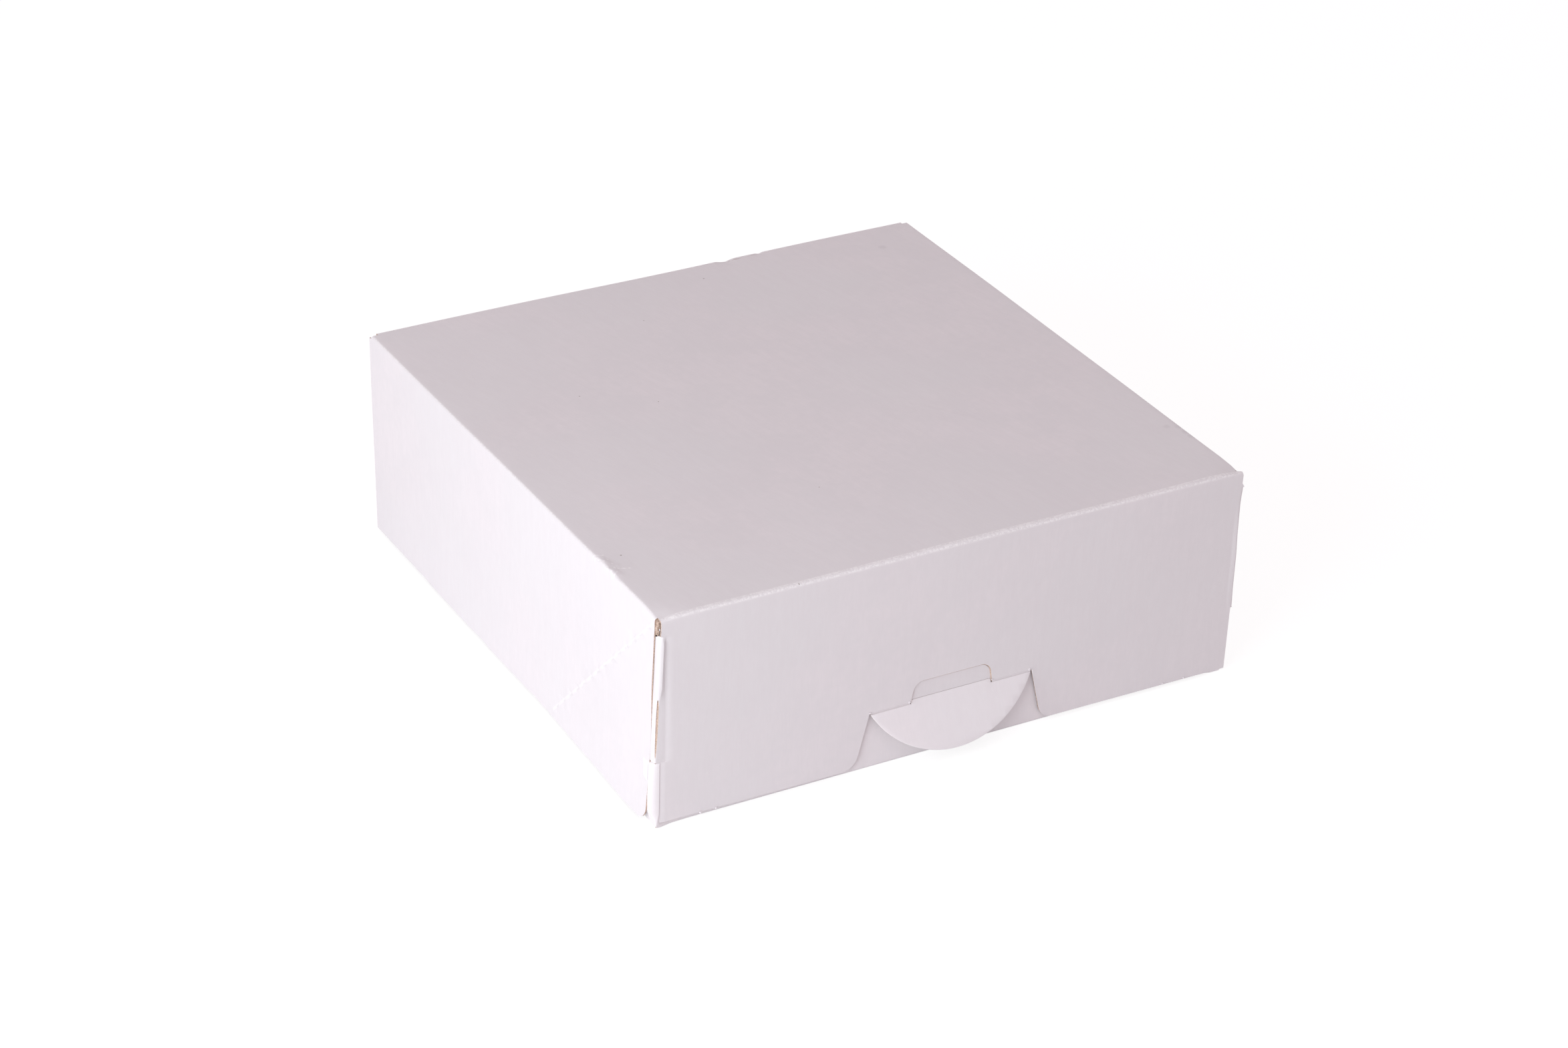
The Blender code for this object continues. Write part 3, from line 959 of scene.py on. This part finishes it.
def slot_cutter(settings):
    """The tongue's slot, as a solid through the tray's front wall."""
    lock, board = settings.lock, settings.board
    play = 0.001
    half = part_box("lock_tongue")[1].x + play
    foot = lock.height - lock.tongue_inset - board.thickness / 2 - play
    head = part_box("lock_tongue")[1].z + play
    cutter = flat_sheet("slot_cutter", -half, half, foot, head, 0)
    pick(cutter, "verts", everywhere)
    bpy.ops.mesh.bevel(offset=0.0015, segments=6, affect="VERTICES")
    stand_up(cutter, tray_front - board.thickness, board.thickness * 3)
    return cutter


def crease_skin(settings):
    """The strip of board that bends between the back wall and the lid."""
    board = settings.board
    low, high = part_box("back_crease")
    axis_y, axis_z = (low.y + high.y) / 2, (low.z + high.z) / 2
    sheet = flat_sheet("crease_skin", low.x, high.x, lid_rear + same_place, axis_y, top)
    fold(sheet, lambda p: near(p.y, axis_y), (0, axis_y, axis_z), X, -math.pi / 2,
         Z * (back_wall_top + same_place - axis_z), board.fold_steps)
    for x in (*grid_lines(low.x, high.x, board.grid), *back_dent_lines):
        score(sheet, (x, 0, 0), X)
    make_board(sheet, board, Z)
    finish_piece(sheet, None, ["back_crease"])
    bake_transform(sheet)


# Lock


def lock_pieces(settings):
    lock, board = settings.lock, settings.board
    hinge = Vector(frame["joints"][1]["pos_m"])
    chord = lock.height - board.thickness / 2 - lock.slack
    swing = turn_about(hinge, -lock.tilt, X)
    inset = lock.gap / 5
    tongue_half = lock.hump_half - inset
    tab_board(lock, board, chord, tongue_half, swing)
    root_top = swing @ Vector((0, front, lock.height + lock.root))
    tongue_board(lock, board, root_top.z, tongue_half, inset)
    for side, name in ((-1, "left"), (1, "right")):
        lock_crease(settings, side, f"lock_crease_{name}", hinge, chord)


def tab_board(lock, board, chord, tongue_half, swing):
    """The half-moon with its root, cut from a round sheet and swung out."""
    reach = lock.reach - board.thickness / 2 - lock.slack
    radius = (lock.half_width ** 2 + reach ** 2) / (2 * reach)
    centre = lock.height - lock.reach + radius
    bpy.ops.object.select_all(action="DESELECT")
    bpy.ops.mesh.primitive_circle_add(vertices=160, radius=radius, fill_type="NGON",
                                      location=(0, centre, 0))
    tab = bpy.context.object
    tab.name = "lock_tab_board"
    settle(tab)
    bpy.ops.object.mode_set(mode="EDIT")
    pick(tab, "faces", everywhere)
    bpy.ops.mesh.bisect(plane_co=(0, chord, 0), plane_no=Y, clear_outer=True)
    for x in (-tongue_half, tongue_half):
        score(tab, (x, 0, 0), X)
    pick(tab, "edges", lambda p: near(p.y, chord) and near(p.x, 0))
    draw_out(Y * (lock.height + lock.root - chord))
    shift(tab, everywhere, upright_at(front))
    for x in grid_lines(-lock.half_width, lock.half_width, board.grid / 2):
        score(tab, (x, 0, 0), X)
    for z in grid_lines(lock.height - lock.reach, lock.height, board.grid / 2):
        score(tab, (0, 0, z), Z)
    shift(tab, everywhere, lambda p: swing @ p)
    # The tab takes the lighter copy of the coating, which is painted light
    make_board(tab, board, -Y, "coated_clean")
    round_lips(tab, lock.lip)
    finish_piece(tab, "lock", ["lock_tab"])


def tongue_board(lock, board, foot, tongue_half, inset):
    """The hump-shaped tongue above the crease."""
    head = lock.height + lock.hump_rise - inset
    tongue = flat_sheet("lock_tongue_board", -tongue_half, tongue_half, foot, head, 0)
    shift(tongue, lambda p: near(p.y, head), lambda p: p - X * math.copysign(lock.hump_taper, p.x))
    pick(tongue, "verts", lambda p: near(p.y, head))
    bpy.ops.mesh.bevel(offset=lock.hump_radius - inset, segments=8, affect="VERTICES")
    shift(tongue, everywhere, upright_at(front + lock.tongue_inset))
    make_board(tongue, board, -Y)
    finish_piece(tongue, "lock", ["lock_tongue"])


def lock_crease(settings, side, name, hinge, chord):
    """The strip of board that bends between the flap and the tab, on one side of the hump."""
    lock, board = settings.lock, settings.board
    low, high = sorted((side * (lock.hump_half + lock.gap), side * (lock.half_width - lock.gap)))
    upper = lock.height + lock.slack
    sheet = flat_sheet(name, low, high, chord, upper, 0)
    for z in grid_lines(chord, upper, board.layer_gap / 4):
        score(sheet, (0, z, 0), Y)
    for x in grid_lines(low, high, board.grid / 2):
        score(sheet, (x, 0, 0), X)
    shift(sheet, everywhere, upright_at(front + lock.lip * 0.6))

    def bent(p):
        turn = Matrix.Rotation(-lock.tilt * fall(p.z, chord, upper), 3, X)
        return hinge + turn @ (p - hinge)

    shift(sheet, everywhere, bent)
    make_board(sheet, board, -Y)
    finish_piece(sheet, None, [])
    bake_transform(sheet)


# Materials


class Maker:
    """Adds and links shader nodes in one tree."""

    def __init__(self, tree):
        self.nodes, self.links = tree.nodes, tree.links

    def fill(self, node, inputs):
        """Sets a node's inputs, or links them where the value is a socket."""
        for place, value in dict(inputs).items():
            if isinstance(value, bpy.types.NodeSocket):
                self.links.new(value, node.inputs[place])
            else:
                node.inputs[place].default_value = value

    def node(self, kind, inputs=(), **settings):
        made = self.nodes.new(kind)
        for name, value in settings.items():
            setattr(made, name, value)
        self.fill(made, inputs)
        return made

    def math(self, operation, *values):
        return self.node("ShaderNodeMath", enumerate(values), operation=operation).outputs[0]

    def vector(self, operation, *values):
        return self.node("ShaderNodeVectorMath", enumerate(values), operation=operation).outputs[0]

    def measure(self, operation, first, second):
        """One number from two vectors, such as their distance."""
        return self.node("ShaderNodeVectorMath", ((0, first), (1, second)),
                         operation=operation).outputs["Value"]

    def scaled(self, value, factor):
        return self.node("ShaderNodeVectorMath", ((0, value), ("Scale", factor)),
                         operation="SCALE").outputs[0]

    def parts(self, place):
        return self.node("ShaderNodeSeparateXYZ", {0: place}).outputs

    def noise(self, place, scale, detail=2.0, output="Fac"):
        return self.node("ShaderNodeTexNoise", {"Vector": place, "Scale": scale,
                                                "Detail": detail}).outputs[output]

    def ramp(self, value, low, high, start=0.0, end=1.0):
        """A smooth step of the value between low and high."""
        return self.node("ShaderNodeMapRange",
                         (("Value", value), ("From Min", low), ("From Max", high),
                          ("To Min", start), ("To Max", end)),
                         interpolation_type="SMOOTHSTEP").outputs[0]

    def mix(self, share, first, second):
        return self.node("ShaderNodeMix", ((0, share), (6, first), (7, second)),
                         data_type="RGBA").outputs[2]

    def largest(self, values):
        total, *rest = values
        for value in rest:
            total = self.math("MAXIMUM", total, value)
        return total


def new_group(name, outputs):
    """A shader node group that works on a place on the box."""
    group = bpy.data.node_groups.new(name, "ShaderNodeTree")
    group.interface.new_socket(name="Place", in_out="INPUT", socket_type="NodeSocketVector")
    for output in outputs:
        group.interface.new_socket(name=output, in_out="OUTPUT", socket_type="NodeSocketFloat")
    maker = Maker(group)
    place = maker.node("NodeGroupInput").outputs[0]
    return group, maker, place, maker.node("NodeGroupOutput")


def grain_group():
    """Streaks along the board's grain, a slow mottle and the height of its fibres."""
    group, maker, place, end = new_group("board_grain", ("Streak", "Mottle", "Height"))
    x, y, z = maker.parts(place)
    squash = 0.14
    on_side = maker.math("GREATER_THAN", maker.math("ABSOLUTE", x), half_width - 0.0007)
    leaning = maker.math("MULTIPLY_ADD", y, 0.2, x)
    across = maker.node("ShaderNodeMix", ((0, on_side), (2, leaning), (3, y))).outputs[0]
    along = maker.math("ADD", z, maker.math("MULTIPLY", y, maker.math("SUBTRACT", 1.0, on_side)))
    stretched = maker.node("ShaderNodeCombineXYZ",
                           ((0, across), (1, maker.math("MULTIPLY", along, squash)))).outputs[0]
    fine, wide = maker.noise(stretched, 1500.0), maker.noise(stretched, 420.0)
    streak = maker.math("MULTIPLY_ADD", wide, 0.5, maker.math("MULTIPLY", fine, 0.5))
    mottle = maker.math("MULTIPLY_ADD", maker.noise(place, 55.0, 3.0), 0.6,
                        maker.math("MULTIPLY", maker.noise(place, 320.0, 3.0), 0.4))
    height = maker.math("MULTIPLY_ADD", maker.noise(place, 2400.0), 0.3, streak)
    maker.fill(end, enumerate((streak, mottle, height)))
    return group


def crease_wear_and_highlight_group():
    """Where the coating is cracked white along the lid's creases, with painted highlight that is
    stronger on the lit front and left creases, and how high it stands there.
    """
    group, maker, place, end = new_group("crease_wear", ("Wear", "Height"))
    x, y, z = maker.parts(place)
    crumble = maker.noise(place, 1400.0, 4.0)
    gap_z = maker.math("SUBTRACT", z, top)
    wear_and_highlight_bands, heights = [], []
    # Painted highlight: the strengths make the lit front and left creases lighter than the right
    # and the back ones
    for value, line, inset, width, strength in ((y, front, 0.0003, 0.0018, 0.95),
                                                (x, -half_width, 0.0002, 0.0011, 0.6),
                                                (x, half_width, 0.0002, 0.0012, 0.3),
                                                (y, back, 0.0006, 0.0014, 0.4)):
        gap = maker.math("SUBTRACT", value, line + math.copysign(inset, -line))
        squared = maker.math("ADD", maker.math("MULTIPLY", gap, gap),
                             maker.math("MULTIPLY", gap_z, gap_z))
        away = maker.math("MULTIPLY_ADD", crumble, 0.0012, maker.math("SQRT", squared))
        band = maker.ramp(away, width * 1.25, width * 0.7)
        # Two light lines with a duller one between them
        from_middle = maker.math("ABSOLUTE", maker.math("SUBTRACT", away, width * 0.5))
        double = maker.ramp(from_middle, 0.0, width * 0.35, 0.55, 1.0)
        heights.append(maker.math("MULTIPLY", band, double))
        wear_and_highlight_bands.append(maker.math("MULTIPLY", heights[-1], strength))
    worn_and_lit = maker.math("MULTIPLY", maker.largest(wear_and_highlight_bands), maker.ramp(crumble, 0.42, 0.58, 0.2, 1.0))
    height = maker.math("MULTIPLY", maker.largest(heights[:2]), crumble)
    maker.fill(end, enumerate((worn_and_lit, height)))
    return group


def mark_group():
    """Dark specks, darker patches, a faint curved ridge, painted shade and highlight on the
    perforation, and painted highlight along the blister's fine lines.
    """
    group, maker, place, end = new_group(
        "small_marks", ("Speck", "Smudge", "Height", "Slit", "Bridge", "Flake"))
    wobble = maker.noise(place, 2500.0, output="Color")
    stray = maker.scaled(maker.vector("SUBTRACT", wobble, (0.5, 0.5, 0.5)), 0.0004)
    ragged = maker.vector("ADD", place, stray)

    def near_any(spots, grow=1.0):
        return maker.largest([maker.ramp(maker.measure("DISTANCE", ragged, spot), radius * grow,
                                         radius * 0.5) for spot, radius in spots])

    def near_line(start, stop, width):
        """A fine, broken line on the top, which may stand a little above it."""
        start = Vector((*start, top))
        run = Vector((*stop, top)) - start
        offset = maker.vector("MULTIPLY", maker.vector("SUBTRACT", ragged, start), (1, 1, 0.2))
        share = maker.measure("DOT_PRODUCT", offset, run / run.length_squared)
        foot = maker.scaled(run, maker.ramp(share, 0.0, 1.0))
        return maker.ramp(maker.measure("DISTANCE", offset, foot), width, width * 0.3)

    ring = maker.measure("DISTANCE", place, (*ridge_centre, top))
    crest = maker.ramp(maker.math("ABSOLUTE", maker.math("SUBTRACT", ring, ridge_radius)),
                       ridge_width, 0.0)
    reach = maker.ramp(maker.measure("DISTANCE", place, (*ridge_middle, top)), 0.036, 0.02)
    slit, line = perforation_masks(maker, place)
    blister_highlights = [near_line(start, stop, 0.0005)
              for corners in blister_lines for start, stop in zip(corners, corners[1:])]
    masks = (near_any(specks), near_any(dark_patches, 1.8), maker.math("MULTIPLY", crest, reach),
             slit, line, maker.largest(blister_highlights))
    maker.fill(end, enumerate(masks))
    return group


def perforation_masks(maker, place):
    """Painted shade in the slits of the perforated creases, to one side of their line, and painted
    highlight along the line that they lie on.
    """
    lid = bpy.context.scene.cake_box.lid
    half_root = math.sqrt(0.5)
    slits_middle, slits_reach = 6.5, 7.2
    x, y, z = maker.parts(place)
    on_side = maker.math("GREATER_THAN", maker.math("ABSOLUTE", x), half_width - 0.0015)
    below = maker.math("SUBTRACT", top, z)
    behind = maker.math("SUBTRACT", y, front)
    across = maker.math("MULTIPLY", maker.math("SUBTRACT", behind, below), half_root)
    along = maker.math("MULTIPLY", maker.math("ADD", behind, below), half_root)
    slits = maker.math("DIVIDE", maker.math("SUBTRACT", along, lid.slit_start), lid.slit_pitch)
    phase = maker.math("ABSOLUTE", maker.math("SUBTRACT", slits, maker.math("ROUND", slits)))
    in_row = maker.math("MULTIPLY", on_side,
                        maker.math("COMPARE", slits, slits_middle, slits_reach))
    # The painted shade of a slit lies to one side of the line
    aside = maker.math("ABSOLUTE", maker.math("ADD", across, 0.0002))
    slit = maker.math("MULTIPLY", maker.ramp(phase, 0.24, 0.15), maker.ramp(aside, 0.0005, 0.0002))
    line = maker.ramp(maker.math("ABSOLUTE", across), 0.0008, 0.0002)
    return maker.math("MULTIPLY", slit, in_row), maker.math("MULTIPLY", line, in_row)


def grouped(maker, name, make, place):
    """The outputs of a shared node group at a place. The group is made on its first use."""
    group = bpy.data.node_groups.get(name) or make()
    return list(maker.node("ShaderNodeGroup", {0: place}, node_tree=group).outputs)


def begin_board(material):
    maker = Maker(material.node_tree)
    place = maker.node("ShaderNodeTexCoord").outputs["Object"]
    return maker, maker.nodes["Principled BSDF"], place


def finish_board(maker, shader, surface, bump_strength, bump_distance, height):
    """Fills in the shader: its colour, roughness and reflection, and a fine relief."""
    relief = maker.node("ShaderNodeBump", (("Strength", bump_strength),
                                           ("Distance", bump_distance), ("Height", height)))
    names = ("Base Color", "Roughness", "Specular IOR Level")
    maker.fill(shader, (*zip(names, surface), ("Normal", relief.outputs[0])))


def shaded(colour, factor=1.0):
    return (*(Vector(colour) * factor), 1)


def coated_board(board, material):
    """The outer face: white coating with grain, mottle, specks and darker patches, cracked creases
    with painted highlight, painted shade and highlight on the perforation and the blister, and a
    lighter copy that is painted light.
    """
    maker, shader, place = begin_board(material)
    streak, mottle, height = grouped(maker, "board_grain", grain_group, place)
    wear_and_highlight, wear_height = grouped(maker, "crease_wear", crease_wear_and_highlight_group, place)
    speck, dark_patch, ridge, slit, line_highlight, blister_highlight = grouped(maker, "small_marks", mark_group, place)
    # Painted light: the lighter copy of the coating brightens the tray and the lock tab
    tint = Vector(board.coating) * (board.clean if material.name == "coated_clean" else 1)
    warmth = Vector((0.004, 0, 0))
    base = maker.mix(maker.ramp(mottle, 0.36, 0.64), shaded(tint * 0.985 - warmth),
                     shaded(tint * 1.012 + warmth))
    broad = maker.ramp(maker.noise(place, 16.0, 1.0), 0.35, 0.65)
    cracked_and_highlight = shaded(board.cracked_and_highlight)
    for mask, strength, colour in (
            (broad, 0.7, (tint.x * 0.985, tint.y * 1.005, tint.z, 1)),
            (maker.ramp(streak, 0.33, 0.67), 0.5, shaded(tint, 0.965)),
            # Partly real cracked coating, partly painted highlight along the creases
            (wear_and_highlight, 1.0, cracked_and_highlight),
            # Painted highlight along the perforation's line
            (line_highlight, 0.28, cracked_and_highlight),
            # Painted highlight along the blister's raised lines
            (blister_highlight, 0.7, cracked_and_highlight),
            # Painted shade in the perforation's slits
            (slit, 0.38, shaded(tint, 0.82)),
            # Darker patches on the top, most of them along its right crease
            (dark_patch, 0.18, shaded(tint, 0.6)),
            (speck, 0.75, shaded(board.core, 0.45))):
        base = maker.mix(maker.math("MULTIPLY", mask, strength), base, colour)
    raised = maker.math("MULTIPLY_ADD", wear_height, 2.5, height)
    raised = maker.math("MULTIPLY_ADD", ridge, 3.0, raised)
    finish_board(maker, shader, (base, maker.math("MULTIPLY_ADD", streak, 0.25, 0.42), 0.3),
                 0.35, 0.00003, raised)


def plain_board(board, material):
    """The inner face: uncoated, duller, with longer fibres."""
    maker, shader, place = begin_board(material)
    streak, mottle, height = grouped(maker, "board_grain", grain_group, place)
    base = maker.mix(maker.ramp(mottle, 0.35, 0.65), shaded(board.inside, 0.97),
                     shaded(board.inside, 1.02))
    fibres = maker.ramp(maker.noise(place, 1100.0, 4.0), 0.62, 0.72, 0.0, 0.25)
    base = maker.mix(fibres, base, shaded(board.inside, 0.86))
    finish_board(maker, shader, (base, maker.math("MULTIPLY_ADD", streak, 0.15, 0.78), 0.2),
                 0.5, 0.00005, height)


def core_board(board, material):
    """The cut edge: the tan core with torn fibres."""
    maker, shader, place = begin_board(material)
    fibres = maker.noise(place, 2600.0, 4.0)
    base = maker.mix(maker.ramp(fibres, 0.35, 0.65), shaded(board.core, 0.72),
                     shaded(board.core, 1.18))
    finish_board(maker, shader, (base, 0.9, 0.15), 0.8, 0.00008, fibres)


def board_materials(board, coating="coated_face"):
    """The outer, inner and cut faces' materials, each made on its first use."""
    made = []
    for name, shade in ((coating, coated_board), ("plain_inside", plain_board),
                        ("cut_core", core_board)):
        material = bpy.data.materials.get(name)
        if not material:
            material = bpy.data.materials.new(name)
            material.use_nodes = True
            shade(board, material)
        made.append(material)
    return made


# Stage


def set_stage(settings):
    stage = settings.stage
    scene = bpy.context.scene
    scene.view_settings.view_transform = "Standard"

    bpy.ops.object.select_all(action="DESELECT")
    bpy.ops.object.camera_add(location=stage.camera_place, rotation=stage.camera_turn)
    camera = bpy.context.object
    camera.name = "camera"
    camera.data.lens = stage.lens
    camera.data.sensor_width = 36
    scene.camera = camera

    bpy.ops.mesh.primitive_plane_add(size=8, location=(0, 0, 0))
    floor = bpy.context.object
    floor.name = "floor"
    floor.data.materials.append(floor_material())

    bpy.ops.object.light_add(type="AREA", location=stage.key_place)
    key = bpy.context.object
    key.name = "key_lamp"
    key.data.energy = stage.key_power
    key.data.size = stage.key_size
    key.data.color = (0.911, 0.981, 1.004)
    from_box = Vector(stage.key_place) - Vector((0, 0, top / 2))
    key.rotation_euler = from_box.to_track_quat("Z", "Y").to_euler()
    light_room(scene, stage.sky)


def light_room(scene, strength):
    """Even light, whose source looks plain white from the camera and in reflections."""
    scene.world = bpy.data.worlds.new("studio")
    scene.world.use_nodes = True
    scene.world.node_tree.nodes.clear()
    maker = Maker(scene.world.node_tree)
    path = maker.node("ShaderNodeLightPath").outputs
    seen = maker.largest([path[f"Is {ray} Ray"] for ray in ("Camera", "Glossy", "Transmission")])
    even = maker.node("ShaderNodeBackground",
                      {"Color": (1.097, 0.981, 1.01, 1), "Strength": strength})
    white = maker.node("ShaderNodeBackground", {"Color": (1, 1, 1, 1)})
    shown = maker.node("ShaderNodeMixShader",
                       ((0, seen), (1, even.outputs[0]), (2, white.outputs[0])))
    maker.node("ShaderNodeOutputWorld", {0: shown.outputs[0]})


def floor_material():
    """A pale floor, which the camera sees as white where no shadow falls."""
    material = bpy.data.materials.new("pale_floor")
    material.use_nodes = True
    maker = Maker(material.node_tree)
    shader = maker.nodes["Principled BSDF"]
    maker.fill(shader, {"Base Color": (0.9, 0.9, 0.9, 1), "Roughness": 1, "Specular IOR Level": 0})
    soft = maker.node("ShaderNodeBsdfDiffuse", {"Color": (0.35, 0.35, 0.35, 1)})
    glow = maker.node("ShaderNodeEmission", {"Strength": 0.8})
    both = maker.node("ShaderNodeAddShader", ((0, soft.outputs[0]), (1, glow.outputs[0])))
    seen = maker.node("ShaderNodeLightPath").outputs["Is Camera Ray"]
    shown = maker.node("ShaderNodeMixShader",
                       ((0, seen), (1, shader.outputs[0]), (2, both.outputs[0])))
    maker.fill(maker.nodes["Material Output"], {0: shown.outputs[0]})
    return material


# Operators and panel


class CAKEBOX_OT_tray(bpy.types.Operator):
    """Folds the tray from one sheet of board"""

    bl_idname = "cake_box.tray"
    bl_label = "Fold the tray"
    bl_options = {"REGISTER", "UNDO"}

    def execute(self, context):
        tray_sheet(context.scene.cake_box)
        return {"FINISHED"}


class CAKEBOX_OT_lid(bpy.types.Operator):
    """Folds the lid, its flaps, gussets and glue tabs from one sheet of board"""

    bl_idname = "cake_box.lid"
    bl_label = "Fold the lid"
    bl_options = {"REGISTER", "UNDO"}

    def execute(self, context):
        lid_sheet(context.scene.cake_box)
        return {"FINISHED"}


class CAKEBOX_OT_back_crease(bpy.types.Operator):
    """Joins the back wall to the lid with a strip folded round the back crease"""

    bl_idname = "cake_box.back_crease"
    bl_label = "Join the back crease"
    bl_options = {"REGISTER", "UNDO"}

    def execute(self, context):
        crease_skin(context.scene.cake_box)
        return {"FINISHED"}


class CAKEBOX_OT_lock(bpy.types.Operator):
    """Cuts the lock tab and its tongue"""

    bl_idname = "cake_box.lock"
    bl_label = "Cut the lock"
    bl_options = {"REGISTER", "UNDO"}

    def execute(self, context):
        lock_pieces(context.scene.cake_box)
        return {"FINISHED"}


class CAKEBOX_OT_stage(bpy.types.Operator):
    """Sets up the floor, the lamps and the camera"""

    bl_idname = "cake_box.stage"
    bl_label = "Set the stage"
    bl_options = {"REGISTER", "UNDO"}

    def execute(self, context):
        set_stage(context.scene.cake_box)
        return {"FINISHED"}


class CAKEBOX_PT_panel(bpy.types.Panel):
    """Lists the steps that make the box"""

    bl_idname = "CAKEBOX_PT_panel"
    bl_label = "Cake box"
    bl_space_type = "VIEW_3D"
    bl_region_type = "UI"
    bl_category = "Cake box"

    def draw(self, context):
        for step in steps_in_order:
            self.layout.operator(step.bl_idname)


steps_in_order = (CAKEBOX_OT_tray, CAKEBOX_OT_lid, CAKEBOX_OT_back_crease, CAKEBOX_OT_lock,
                  CAKEBOX_OT_stage)
classes = (BoardSettings, LidSettings, LockSettings, StageSettings, CakeBoxSettings,
           *steps_in_order, CAKEBOX_PT_panel)


def register():
    for made in classes:
        bpy.utils.register_class(made)
    bpy.types.Scene.cake_box = PointerProperty(type=CakeBoxSettings, name="Cake box",
                                               description="Settings of the cake box")


def unregister():
    del bpy.types.Scene.cake_box
    for made in reversed(classes):
        bpy.utils.unregister_class(made)


def main():
    register()
    bpy.ops.cake_box.tray()
    bpy.ops.cake_box.lid()
    bpy.ops.cake_box.back_crease()
    bpy.ops.cake_box.lock()
    bpy.ops.cake_box.stage()


if __name__ == "__main__":
    main()
